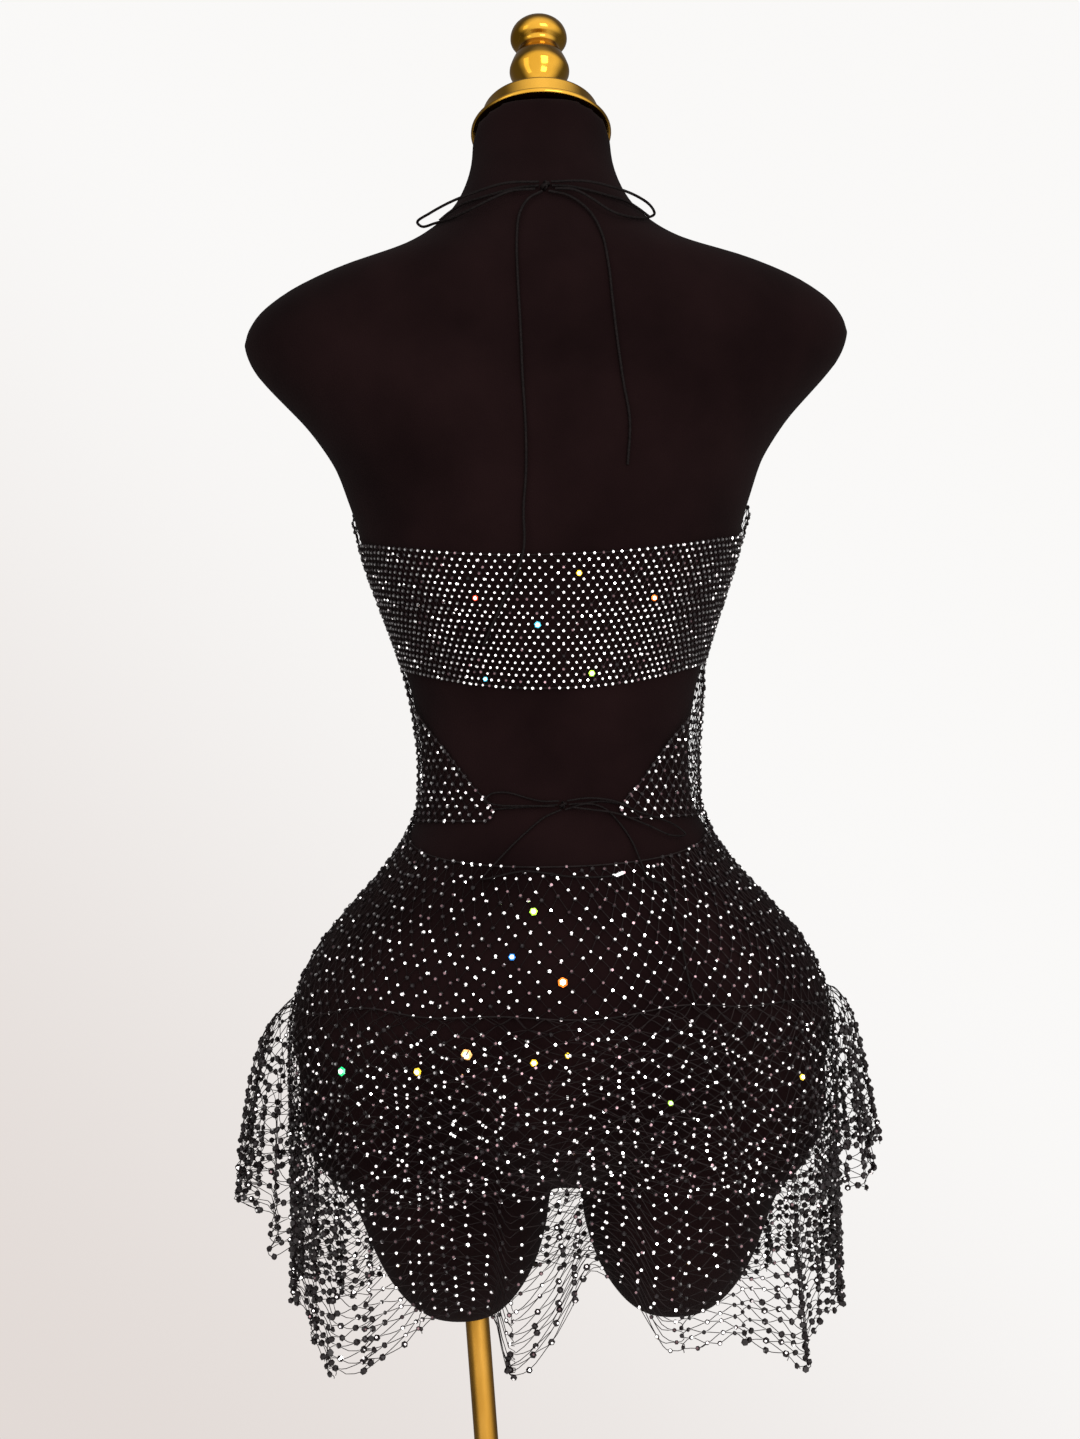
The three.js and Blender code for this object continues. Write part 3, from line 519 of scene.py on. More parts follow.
def add_stones(parts, places, normals, radius, kind, facet=CRYSTAL, table=CRYSTAL):
    """A faceted stone in a dark cup at each place, turned at random and tilted a little. Crown facets and
    tables that don't shine get the cup's black as painted dark reflection, and some tables get a darker
    crystal as painted dim reflection.
    """
    count = len(places)
    normals = unit(normals + rng.normal(0, kind.tilt, normals.shape))
    across = unit(np.cross(normals, rng.normal(0, 1, normals.shape)))
    up = np.cross(normals, across)
    size = radius * rng.uniform(0.9, 1.08, count)
    turn = np.linspace(0, 2 * np.pi, STONE_SIDES, endpoint=False)
    flat = across[:, None] * np.cos(turn)[:, None] + up[:, None] * np.sin(turn)[:, None]
    rings = [places[:, None] + size[:, None, None] * (flat * r + normals[:, None] * h) for r, h in kind.rings]
    points = np.stack(rings, axis=1)
    index = np.arange(points[..., 0].size).reshape(points.shape[:3])
    walls = walls_between(index)
    # Facets not chosen to shine get the cup's black as painted dark reflection; tables get the crystal, the
    # darker crystal as painted dim reflection, and the cup's black as painted dark reflection
    crown_facets = np.where(rng.random((count, STONE_SIDES)) < kind.facets, facet, CUP_AND_PAINTED_DARK)
    luck = rng.random(count)
    top = np.where(luck < kind.tables, table, np.where(luck < kind.tables + kind.painted_dim, PAINTED_DIM, CUP_AND_PAINTED_DARK))
    faces = [walls[:, 0].reshape(-1, 4), walls[:, 1].reshape(-1, 4), index[:, 0, ::-1], index[:, -1]]
    parts.add(points, faces, [CUP_AND_PAINTED_DARK, crown_facets.ravel(), CUP_AND_PAINTED_DARK, top])


# Materials

# Emission strength of the painted glints on the flashing stones' coloured facets
PAINTED_FLASH_GLOW = 0.8


def set_inputs(node, values):
    for name, value in values.items():
        node.inputs[name].default_value = value


def add_node(tree, kind, values, **settings):
    node = tree.nodes.new(f"ShaderNode{kind}")
    for name, value in settings.items():
        setattr(node, name, value)
    set_inputs(node, values)
    return node


def shader_of(tree):
    return tree.nodes["Principled BSDF"]


def new_material(name, color, roughness, metallic=0.0, specular=0.5):
    material = bpy.data.materials.new(name)
    material.use_nodes = True
    set_inputs(shader_of(material.node_tree), {
        "Base Color": (*color, 1), "Roughness": roughness, "Metallic": metallic,
        "Specular IOR Level": specular,
    })
    return material, material.node_tree


def add_noise(tree, scale, detail, stretch=(1, 1, 1)):
    place = tree.nodes.new("ShaderNodeTexCoord")
    mapping = add_node(tree, "Mapping", {"Scale": stretch})
    noise = add_node(tree, "TexNoise", {"Scale": scale, "Detail": detail})
    tree.links.new(place.outputs["Object"], mapping.inputs["Vector"])
    tree.links.new(mapping.outputs["Vector"], noise.inputs["Vector"])
    return noise.outputs["Fac"]


def add_ramp(tree, value, stops):
    ramp = tree.nodes.new("ShaderNodeValToRGB")
    elements = ramp.color_ramp.elements
    elements[0].position, elements[0].color = stops[0][0], (*stops[0][1], 1)
    elements[1].position, elements[1].color = stops[-1][0], (*stops[-1][1], 1)
    for position, color in stops[1:-1]:
        elements.new(position).color = (*color, 1)
    tree.links.new(value, ramp.inputs["Fac"])
    return ramp.outputs["Color"]


def vary(tree, socket, noise, stops):
    """Drives a shader's socket by a ramp over noise, given as its scale, detail and stretch."""
    tree.links.new(add_ramp(tree, add_noise(tree, *noise), stops), shader_of(tree).inputs[socket])


def add_bump(tree, noise, distance, strength=1.0):
    bump = add_node(tree, "Bump", {"Distance": distance, "Strength": strength})
    tree.links.new(add_noise(tree, *noise), bump.inputs["Height"])
    tree.links.new(bump.outputs["Normal"], shader_of(tree).inputs["Normal"])


def jersey_material():
    material, tree = new_material("black_jersey", (0.003, 0.001, 0.001), 0.95, specular=0.03)
    vary(tree, "Base Color", (14, 4), [(0.3, (0.0022, 0.0006, 0.0007)), (0.7, (0.0046, 0.0017, 0.0018))])
    add_bump(tree, (900, 2, (1, 1, 0.45)), 0.0004, 0.6)
    set_inputs(shader_of(tree), {"Sheen Weight": 0.006, "Sheen Roughness": 0.5})
    return material


def thread_material():
    material, tree = new_material("net_thread", (0.004, 0.002, 0.002), 0.7, specular=0.08)
    vary(tree, "Base Color", (260, 2), [(0.3, (0.002, 0.001, 0.001)), (0.75, (0.008, 0.005, 0.005))])
    add_bump(tree, (3000, 1), 0.0001)
    return material


# The black of the stones' cups, also painted on facets and tables that don't shine as painted dark reflection
def cup_and_painted_dark_material():
    material, tree = new_material("stone_cup_and_painted_dark", (0.004, 0.002, 0.003), 0.35, specular=0.15)
    vary(tree, "Base Color", (400, 1), [(0.3, (0.002, 0.001, 0.001)), (0.8, (0.01, 0.007, 0.008))])
    return material


def crystal_material(name, low, high, painted_glow=0.0):
    """A stone's shining facet, mottled between two colours. Its glow is a painted glow by emission, given
    only to the flashing stones' white cores.
    """
    material, tree = new_material(name, high, 0.07, metallic=1.0)
    vary(tree, "Base Color", (220, 1), [(0.35, low), (0.6, high)])
    set_inputs(shader_of(tree), {"Emission Color": (1, 1, 1, 1), "Emission Strength": painted_glow})
    return material


def painted_flash_material(name, color):
    """A stone's facet with a painted coloured glint: it glows by emission in one colour of the split light.
    """
    material, tree = new_material(f"flash_{name}", color, 0.1)
    dark = tuple(0.3 * c for c in color)
    vary(tree, "Base Color", (500, 1), [(0.35, dark), (0.6, color)])
    set_inputs(shader_of(tree), {"Emission Color": (*color, 1), "Emission Strength": PAINTED_FLASH_GLOW})
    return material


def cord_material():
    material, tree = new_material("black_cord", (0.002, 0.001, 0.001), 0.6, specular=0.05)
    stops = [(0.3, (0.0012, 0.0006, 0.0006)), (0.8, (0.0055, 0.0035, 0.0035))]
    vary(tree, "Base Color", (700, 1, (1, 1, 2)), stops)
    add_bump(tree, (1600, 1, (1, 1, 3)), 0.0003)
    return material


def gold_material():
    material, tree = new_material("polished_gold", (0.36, 0.185, 0.018), 0.13, metallic=1.0)
    vary(tree, "Base Color", (30, 3), [(0.3, (0.29, 0.145, 0.012)), (0.7, (0.42, 0.225, 0.03))])
    vary(tree, "Roughness", (90, 5, (1, 1, 0.2)), [(0.35, (0.07,) * 3), (0.75, (0.2,) * 3)])
    add_bump(tree, (140, 4, (1, 1, 0.1)), 0.0002, 0.25)
    return material


def brushed_gold_material():
    material, tree = new_material("brushed_gold", (0.25, 0.125, 0.018), 0.36, metallic=1.0)
    stops = [(0.3, (0.15, 0.068, 0.007)), (0.52, (0.25, 0.125, 0.018)), (0.7, (0.38, 0.21, 0.045))]
    vary(tree, "Base Color", (24, 4, (1, 1, 0.25)), stops)
    vary(tree, "Roughness", (120, 4, (1, 1, 0.1)), [(0.35, (0.3,) * 3), (0.75, (0.46,) * 3)])
    add_bump(tree, (260, 3, (1, 1, 0.06)), 0.0002, 0.3)
    return material


def silver_material():
    material, tree = new_material("silver_crimp", (0.8, 0.8, 0.82), 0.22, metallic=1.0)
    add_bump(tree, (900, 2), 0.0002)
    return material


def floor_material():
    material, tree = new_material("pale_floor", (0.8, 0.78, 0.77), 0.85, specular=0.2)
    vary(tree, "Base Color", (3, 5), [(0.3, (0.78, 0.76, 0.75)), (0.7, (0.84, 0.82, 0.81))])
    return material


JERSEY = jersey_material()
THREAD = thread_material()
CUPS_AND_PAINTED_DARK = cup_and_painted_dark_material()
CLEAR = crystal_material("clear_stone", (0.6, 0.55, 0.57), (1, 1, 1))
# A darker copy of the crystal, painted on some tables as painted dim reflection
PAINTED_DIM_CRYSTAL = crystal_material("painted_dim_stone", (0.03, 0.02, 0.022), (0.16, 0.1, 0.11))
# The flashing stones' white cores carry a painted glow
PAINTED_GLOW_CORE = crystal_material("flash_core", (0.9, 0.9, 0.9), (1, 1, 1), 1.0)
CORD = cord_material()
GOLD = gold_material()
BRUSHED_GOLD = brushed_gold_material()
SILVER = silver_material()
# Colours of the painted glints that stand for the stones' split light
PAINTED_FLASH_COLORS = {
    "green": (0.0, 0.62, 0.16), "yellow": (0.95, 0.6, 0.03), "warm": (1.0, 0.5, 0.16),
    "orange": (1.0, 0.2, 0.02), "lime": (0.4, 0.8, 0.06), "blue": (0.03, 0.25, 0.9),
    "cyan": (0.08, 0.6, 0.85), "red": (0.9, 0.06, 0.02),
}
PAINTED_FLASHES = {name: painted_flash_material(name, color) for name, color in PAINTED_FLASH_COLORS.items()}


# The nets

def surface_normal(surface, degrees, down, out):
    """Which way the cloth faces, from its slopes over a small turn and a small drop."""
    small_turn, small_drop = 0.15, 0.002
    around = surface(degrees + small_turn, down, out) - surface(degrees - small_turn, down, out)
    low = np.clip(down + small_drop, 0, 1)
    high = np.clip(down - small_drop, 0, 1)
    return unit(np.cross(surface(degrees, low, out) - surface(degrees, high, out), around))


# Stones with painted coloured glints: x, z, colour and size against the plain ones
FIRE_STONES = {
    "yoke_back": [[17.6, 996, "orange", 1.6], [4, 1035.7, "lime", 1.5], [-10.3, 1014.3, "blue", 1.2]],
    "skirt_back": [
        [-72.3, 945.2, "yellow", 1.5], [-41.7, 955.9, "warm", 1.9], [0, 942.5, "yellow", 1.4],
        [26.6, 953.1, "yellow", 1.0],
    ],
    "overskirt_back": [
        [-124.6, 939.5, "green", 1.6], [170, 935.6, "yellow", 1.2], [92.7, 923.2, "lime", 1.0],
    ],
    "back_band": [
        [12.6, 1219.5, "cyan", 1.2], [38.9, 1256.4, "yellow", 1.1], [87.4, 1239.1, "orange", 1.2],
        [46.5, 1190.5, "lime", 1.1], [-28.3, 1239.4, "red", 1.0], [-25.3, 1188.6, "cyan", 0.9],
    ],
}


# The net hangs free below the thigh stubs, between them, and where it is this much wider than the form
THIGH_BOTTOM_Z = 762
THIGH_TOP_Z = 900
CROTCH_Z = 850
OUTLINE_MARGIN = 2


def hangs_free(places):
    """Whether there is open air behind each place, seen from the back or the front."""
    across, z = np.abs(places[:, 0] - BODY_X), places[:, 2]
    thigh = thigh_section(z)
    outer = np.where(z < THIGH_TOP_Z, thigh["middle"] + thigh["half"], hip_section(z)["half"])
    between = (across < thigh["middle"] - thigh["half"] - OUTLINE_MARGIN) & (z < CROTCH_Z)
    return (z < HIP_Z) & ((across > outer + OUTLINE_MARGIN) | between | (z < THIGH_BOTTOM_Z))


# Flashing stones turn towards the camera by this much, and are never chosen from the body's far side
FLASH_LEAN = [0, -0.4, 0]
FAR_SIDE = 1000


def add_net_stones(parts, name, places, normals, radius, kind):
    """Stones at all places, those nearest the flashing ones' places with painted coloured glints, and the
    net's materials. Stones that hang free get a kind with more of their facets and tables painted black as
    painted dark reflection.
    """
    plain = np.ones(len(places), bool)
    colors = []
    for x, z, color, size in FIRE_STONES.get(name, []):
        away = np.hypot(places[:, 0] - x, places[:, 2] - z) + FAR_SIDE * (places[:, 1] > 0)
        nearest = int(np.argmin(away))
        plain[nearest] = False
        if color not in colors:
            colors.append(color)
        add_stones(parts, places[[nearest]], normals[[nearest]] + FLASH_LEAN, FLASH_SIZE * size, FLASHING,
                   CORE + 1 + colors.index(color), CORE)
    free = hangs_free(places)
    add_stones(parts, places[plain & ~free], normals[plain & ~free], radius, kind)
    add_stones(parts, places[plain & free], normals[plain & free], HANGING_STONE_RADIUS, HANGING)
    return [THREAD, CUPS_AND_PAINTED_DARK, CLEAR, PAINTED_DIM_CRYSTAL, PAINTED_GLOW_CORE] + [PAINTED_FLASHES[color] for color in colors]


def net_nodes(columns, rows, start, end, jitter, top_jitter=0.0):
    """The knots' angles and places down the cloth, in columns of which each second one is half a row down."""
    column = np.arange(columns + 1)[:, None]
    row = np.arange(rows + 1)[None, :]
    pitch, step = (end - start) / columns, 1 / (rows + 0.5)
    down = np.clip((row + 0.5 * (column % 2)) / (rows + 0.5), 0, 1)
    degrees = start + (end - start) * column / columns + rng.normal(0, jitter * pitch, down.shape)
    inside = (down > 0) & (down < 1)
    spread = np.where(inside, jitter, np.where(down == 0, top_jitter, 0))
    return degrees, np.maximum(down + rng.normal(0, 1, down.shape) * spread * step, 0)


def zigzags(degrees, down, steps, slack):
    """The threads between neighbouring columns, as angle and place along each, softly curved at the knots."""
    columns, rows = degrees.shape
    even = (np.arange(columns - 1) % 2 == 0)[:, None]
    knots = []
    for grid in (degrees, down):
        line = np.empty((columns - 1, 2 * rows))
        line[:, 0::2] = np.where(even, grid[:-1], grid[1:])
        line[:, 1::2] = np.where(even, grid[1:], grid[:-1])
        knots.append(line)
    t = np.linspace(0, 1, steps, endpoint=False)
    bend = slack(knots[1][:, :-1, None])
    lines = []
    for knot, share in zip(knots, (t, t * (1 - bend) + smoothstep(t, 0, 1) * bend)):
        line = knot[:, :-1, None] + (knot[:, 1:, None] - knot[:, :-1, None]) * share
        lines.append(np.concatenate([line.reshape(columns - 1, -1), knot[:, -1:]], axis=1))
    return lines


LOOSE_END_LIFT = 0.2
LOOSE_END_LENGTHS = (2.5, 6)
LOOSE_END_CURL = 2.2


def add_loose_ends(parts, surface, degrees, down, share):
    """Short cut threads that stand off the hem at some of its knots."""
    chosen = rng.random(degrees.shape) < share
    start = surface(degrees[chosen], down[chosen], LOOSE_END_LIFT)
    count = len(start)
    lean = rng.uniform(-1, 1, (count, 1))
    sideways = unit(np.stack([-start[:, 1], start[:, 0] - BODY_X, np.zeros(count)], axis=-1))
    length = rng.uniform(*LOOSE_END_LENGTHS, (count, 1))
    t = np.linspace(0, 1, 4)[:, None]
    drop = np.array([0, 0, -1]) * (1 - np.abs(lean) * 0.7)
    line = start[:, None] + t * (length * (sideways * lean + drop))[:, None]
    curl = (t * (1 - t)) * rng.normal(0, LOOSE_END_CURL, (count, 1, 3))
    add_tubes(parts, line + curl, HANGING_THREAD_RADIUS)


def add_edge_thread(parts, surface, start, end, down, radius, count=400):
    """A thread laid along an edge or a sewn line."""
    degrees = np.linspace(start, end, count)
    add_tubes(parts, surface(degrees, np.full(count, float(down)), 0)[None], radius, sides=5)


def taut(fall):
    return 0 * fall


def full_slack(fall):
    return 0.55 + 0.35 * fall


class Net:
    """The threads, the knots and the edges of one piece of the dress."""

    def __init__(self, name, start, end, stone_radius=STONE_RADIUS, stone_kind=AGAINST_FORM):
        self.name, self.start, self.end = name, start, end
        self.stone_radius, self.stone_kind = stone_radius, stone_kind
        self.parts, self.places, self.normals = Parts(), [], []

    def fill(self, surface, columns, rows, jitter, steps=1, slack=taut, loose=0.0, skip_first=False,
             top_jitter=0.0):
        """Threads between knots in columns and rows, with loose ends at a share of the lowest knots."""
        degrees, down = net_nodes(columns, rows, self.start, self.end, jitter, top_jitter)
        radius = HANGING_THREAD_RADIUS if loose else THREAD_RADIUS
        add_tubes(self.parts, surface(*zigzags(degrees, down, steps, slack), 0), radius)
        self.add_places(surface, degrees[:-1, skip_first:].ravel(), down[:-1, skip_first:].ravel())
        if loose:
            add_loose_ends(self.parts, surface, degrees[:, -1], down[:, -1], loose)

    def add_places(self, surface, degrees, down):
        self.places.append(surface(degrees, down, STONE_LIFT))
        self.normals.append(surface_normal(surface, degrees, down, STONE_LIFT))

    def edge(self, surface, down, radius):
        add_edge_thread(self.parts, surface, self.start, self.end, down, radius)

    def build(self):
        places, normals = np.concatenate(self.places), np.concatenate(self.normals)
        materials = add_net_stones(self.parts, self.name, places, normals, self.stone_radius, self.stone_kind)
        return self.parts.build(f"{self.name}_net", materials)


def declare_sheet(piece, surface, edges):
    """Works out the points of the rectangle that a piece of net was cut from, measured along its rows and
    columns.
    """
    rows, columns = 61, 721
    down = np.linspace(0, 1, rows)[:, None] + np.zeros(columns)
    start, end = edges(down)
    across = np.linspace(0, 1, columns)
    points = surface(start + (end - start) * across, down, 0) * MM


def add_skirts():
    for name, start, end in (("back", -180, 0), ("front", 0, 180)):
        top = Net(f"yoke_{name}", start, end)
        top.fill(yoke, 98, 7, jitter=0.09, top_jitter=0.2)
        top.edge(yoke, 0, WAIST_THREAD_RADIUS)
        long = Net(f"skirt_{name}", start, end)
        long.fill(lower_skirt, 66, 25, jitter=0.12, steps=4, slack=full_slack, loose=0.45, skip_first=True)
        long.edge(lower_skirt, 0, SEAM_THREAD_RADIUS)
        over = Net(f"overskirt_{name}", start, end)
        over.fill(overskirt, 66, 13, jitter=0.16, steps=4, slack=full_slack, loose=0.4, skip_first=True)
        over.edge(overskirt, 0, SEAM_THREAD_RADIUS)
        layers = ((top, yoke, "stretched"), (long, lower_skirt, "hung"), (over, overskirt, "hung"))
        for net, surface, held in layers:
            piece = net.build()
            place(piece, "net", net.name)
            declare_sheet(piece, surface, lambda down: (start, end))


HALTER_START, HALTER_END = -66, 246
HALTER_EDGE_RADIUS = 0.45


def halter_edges(down):
    side = bodice_edge(halter_level(down))["degrees"]
    return side, 180 - side


def add_halter():
    """The halter panel's net is the part of an even net that lies inside its curved edges."""
    net = Net("halter_front", HALTER_START, HALTER_END)
    degrees, down = net_nodes(116, 29, HALTER_START, HALTER_END, 0.05)
    left, right = halter_edges(down)
    inside = (degrees > left) & (degrees < right)
    turns, falls = zigzags(degrees, down, 1, taut)
    share = np.linspace(0, 1, 4)
    for row in range(turns.shape[1] - 1):
        turn, fall = turns[:, row:row + 2], falls[:, row:row + 2]
        left_side, right_side = halter_edges(fall)
        whole = ((turn > left_side) & (turn < right_side)).all(axis=1)
        turn = turn[whole, :1] + (turn[whole, 1:] - turn[whole, :1]) * share
        fall = fall[whole, :1] + (fall[whole, 1:] - fall[whole, :1]) * share
        add_tubes(net.parts, halter(turn, fall, 0), HANGING_THREAD_RADIUS)
    net.add_places(halter, degrees[inside], down[inside])
    fall = np.linspace(0, 1, 130)
    for turn in halter_edges(fall):
        add_tubes(net.parts, halter(turn, fall, 0)[None], HALTER_EDGE_RADIUS, sides=5)
        net.add_places(halter, turn[::2], fall[::2])
    for at in (0.0, 1.0):
        side = float(bodice_edge(halter_level(at))["degrees"])
        add_edge_thread(net.parts, halter, side, 180 - side, at, HALTER_EDGE_RADIUS, 160)
    piece = net.build()
    place(piece, "net", "halter_front")
    declare_sheet(piece, halter, halter_edges)


def add_band():
    net = Net("back_band", -179.9, -0.1, BAND_STONE_RADIUS, PACKED)
    net.fill(band, 132, 10, jitter=0.02)
    net.edge(band, 0, SEAM_THREAD_RADIUS)
    net.edge(band, 1, SEAM_THREAD_RADIUS)
    piece = net.build()
    place(piece, "stone_mesh", "back_band")
    declare_sheet(piece, band, lambda down: (net.start, net.end))


# The form and its stand

TORSO_RINGS, TORSO_SIDES = 230, 144
STUB_RINGS, STUB_SIDES = 60, 80
FORM_VOXEL = 4.2


def apply_modifiers(piece):
    graph = bpy.context.evaluated_depsgraph_get()
    mesh = bpy.data.meshes.new_from_object(piece.evaluated_get(graph))
    piece.modifiers.clear()
    piece.data = mesh


def level_rings(levels, columns):
    return np.meshgrid(levels, np.arange(columns) * 360 / columns, indexing="ij")


def add_form():
    """The torso and the two thigh stubs, joined into one smooth skin."""
    parts = Parts()
    z, degrees = level_rings(np.linspace(TORSO_BOTTOM_Z, NECK_TOP_Z, TORSO_RINGS), TORSO_SIDES)
    add_skin(parts, on_form(degrees, z, 0))
    closer_at_tip = np.linspace(0, 1, STUB_RINGS) ** 1.6
    z, degrees = level_rings(STUB_BOTTOM_Z + (STUB_TOP_Z - STUB_BOTTOM_Z) * closer_at_tip, STUB_SIDES)
    section = thigh_section(z)
    for side in (-1, 1):
        to_side = np.stack([side * section["middle"], 0 * z, 0 * z], axis=-1)
        add_skin(parts, section_point(section, degrees, z, 0) + to_side)
    form = parts.build("jersey_form", [JERSEY], smooth=True)
    remesh = form.modifiers.new("join", "REMESH")
    remesh.mode = "VOXEL"
    remesh.voxel_size = FORM_VOXEL * MM
    remesh.use_smooth_shade = True
    smooth = form.modifiers.new("smooth", "SMOOTH")
    smooth.factor = 0.5
    smooth.iterations = 8
    apply_modifiers(form)
    place(form, "jersey", "dress_form")


def lathe(name, profile, segments, material):
    """A turned piece round +Z from a smooth profile of radius and height."""
    parts = Parts()
    off_axis = [point for point in profile if point[0] > 1e-6]
    radius, height = np.array(off_axis, float).T[..., None]
    turn = np.linspace(0, 2 * np.pi, segments, endpoint=False)
    add_skin(parts, np.stack([radius * np.cos(turn), radius * np.sin(turn), height + 0 * turn], axis=-1))
    return parts.build(name, [material], smooth=True)


def rounded(profile, corner, steps=4):
    """A profile with each corner rounded by a short curve."""
    profile = np.array(profile, float)
    made = [profile[0]]
    for before, here, after in zip(profile[:-2], profile[1:-1], profile[2:]):
        back, on = before - here, after - here
        reach = min(corner, 0.45 * np.linalg.norm(back), 0.45 * np.linalg.norm(on))
        p, q = here + reach * unit(back), here + reach * unit(on)
        made += [(1 - t) ** 2 * p + 2 * t * (1 - t) * here + t ** 2 * q for t in np.linspace(0, 1, steps)]
    return [*made, profile[-1]]


def move_mesh(piece, place_mm, tilt_x=0.0, tilt_y=0.0):
    move = Matrix.Translation([c * MM for c in place_mm])
    piece.data.transform(move @ Matrix.Rotation(tilt_x, 4, "X") @ Matrix.Rotation(tilt_y, 4, "Y"))


CAP_TOP = 20.5
NECK_GAP = 0.3


def add_neck_trim():
    cap = lathe("gold_cap", rounded([
        [0, 0], [46.5, 0], [47.5, 0.8], [47.5, 2.8], [46.5, 3.6], [40.5, 4.4], [39.5, 5.4], [39.5, 18],
        [38, 19.5], [24, 20.2], [22, CAP_TOP], [0, CAP_TOP],
    ], 1.2), 128, GOLD)
    finial = lathe("gold_finial", rounded([
        [0, 0], [24, 0], [25.5, 2], [25.5, 5], [21, 8], [15, 12], [13.5, 17], [14.5, 23], [18.5, 28],
        [20.5, 32], [20.5, 35], [19, 40], [16.5, 46], [14, 50], [13, 53], [14, 55], [18, 57.5], [19.5, 60],
        [19.5, 64], [18, 68.5], [14.5, 72.5], [8.5, 75.3], [3, 76.2], [0, 76.3],
    ], 4), 96, GOLD)
    for piece, node, lift in ((cap, "neck_cap", NECK_GAP), (finial, "finial", CAP_TOP + 2 * NECK_GAP)):
        up = (BODY_X, NECK_TOP_Y + lift * math.sin(NECK_TILT), NECK_TOP_Z + lift * math.cos(NECK_TILT))
        move_mesh(piece, up, tilt_x=-NECK_TILT)
        place(piece, "gold", node)


def add_stand():
    base = lathe("gold_base", rounded([
        [0, 0], [BASE_RADIUS - 2, 0], [BASE_RADIUS, 2], [BASE_RADIUS, 8], [BASE_RADIUS - 5, 11], [90, 15],
        [30, 19], [21, 22], [18.5, 27], [17, 44], [14, 48], [0, 48],
    ], 3), 160, GOLD)
    place(base, "gold", "base")
    length = (POLE_TOP_Z - POLE_BOTTOM_Z) / math.cos(POLE_LEAN)
    rod = rounded([[0, 0], [POLE_RADIUS, 0], [POLE_RADIUS, length], [0, length]], 1)
    pole = lathe("gold_pole", rod, 64, BRUSHED_GOLD)
    foot = (-POLE_BOTTOM_Z * math.tan(POLE_LEAN), 0, POLE_BOTTOM_Z)
    move_mesh(pole, foot, tilt_y=-POLE_LEAN)
    place(pole, "gold", "pole")


# The cords

def on_back(x, z, out):
    """A point behind the form's back, out from its skin."""
    level = z
    # The neck's sections are tilted, so it steps to the section that reaches this height
    for _ in range(6):
        share = min(1, abs(x) / float(form_section(level)["half"])) ** (SECTION_POWER / 2)
        point = on_form(-math.degrees(math.acos(math.copysign(share, x))), level, out)
        level += z - point[2]
    return point


def from_body(x, y, z):
    return np.array([x + BODY_X, y, z])


# Points of the cords on the back: x, z and the distance out from the skin
HALTER_ROUTES = {
    "halter_strand_left": [
        [-2.6, 1507, 3.4], [-14, 1506.5, 2.4], [-28, 1504, 2.2], [-42, 1501, 2.4], [-52, 1499, 2.6],
        [-59.5, 1495, 2.8], [-66, 1490, 2.8],
    ],
    "halter_strand_right": [
        [5.6, 1507, 3.4], [17, 1506.5, 2.4], [30, 1504, 2.2], [43, 1501, 2.4], [53, 1499, 2.6],
        [60.5, 1495, 2.8], [67, 1490, 2.8],
    ],
    "halter_tail_left": [
        [-0.5, 1502.9, 3.6], [-9, 1498, 3.4], [-15, 1488, 2.6], [-17.5, 1470, 1.8], [-17.5, 1445, 1.6],
        [-16.5, 1415, 1.6], [-15.8, 1380, 1.6], [-14.5, 1345, 1.6], [-15, 1318, 1.6], [-17, 1295, 2.2],
        [-17, 1272, 4.2], [-21, 1257, 4.4], [-29, 1241, 4.4], [-37, 1224, 4.4], [-43.5, 1210, 4.4],
    ],
    "halter_tail_right": [
        [3.5, 1502.9, 3.6], [15, 1500, 3.4], [28, 1490, 2.6], [36.5, 1474, 1.8], [40.5, 1453, 1.6],
        [42.5, 1430, 1.6], [44.5, 1407, 1.6], [48, 1375, 1.6], [51.5, 1350, 1.6], [49.5, 1322, 1.6],
    ],
}
# The bow's loops stand a little off the neck and rest on the shoulders: x, y and z
HALTER_LOOPS = {
    "halter_loop_left": [
        [-2.6, -58.5, 1509.5], [-24, -62, 1508.5], [-44, -57, 1504], [-60, -50, 1499.5], [-74, -42, 1494],
        [-83, -33, 1489.8], [-80, -30, 1487.4], [-71, -37, 1488.2], [-60, -48, 1489], [-46, -59.5, 1493],
        [-34, -63, 1498], [-21, -63, 1503], [-5, -62.5, 1504.2],
    ],
    "halter_loop_right": [
        [5.6, -58.5, 1509.5], [28, -62, 1508.5], [46, -57.5, 1505], [60, -50, 1501], [70, -41, 1496],
        [73, -36, 1491.5], [68, -43, 1487.6], [59, -53, 1486], [50, -61, 1486.5], [42, -64, 1489.5],
        [31, -64.5, 1497], [20, -63.5, 1503], [8, -62.5, 1504.2],
    ],
}
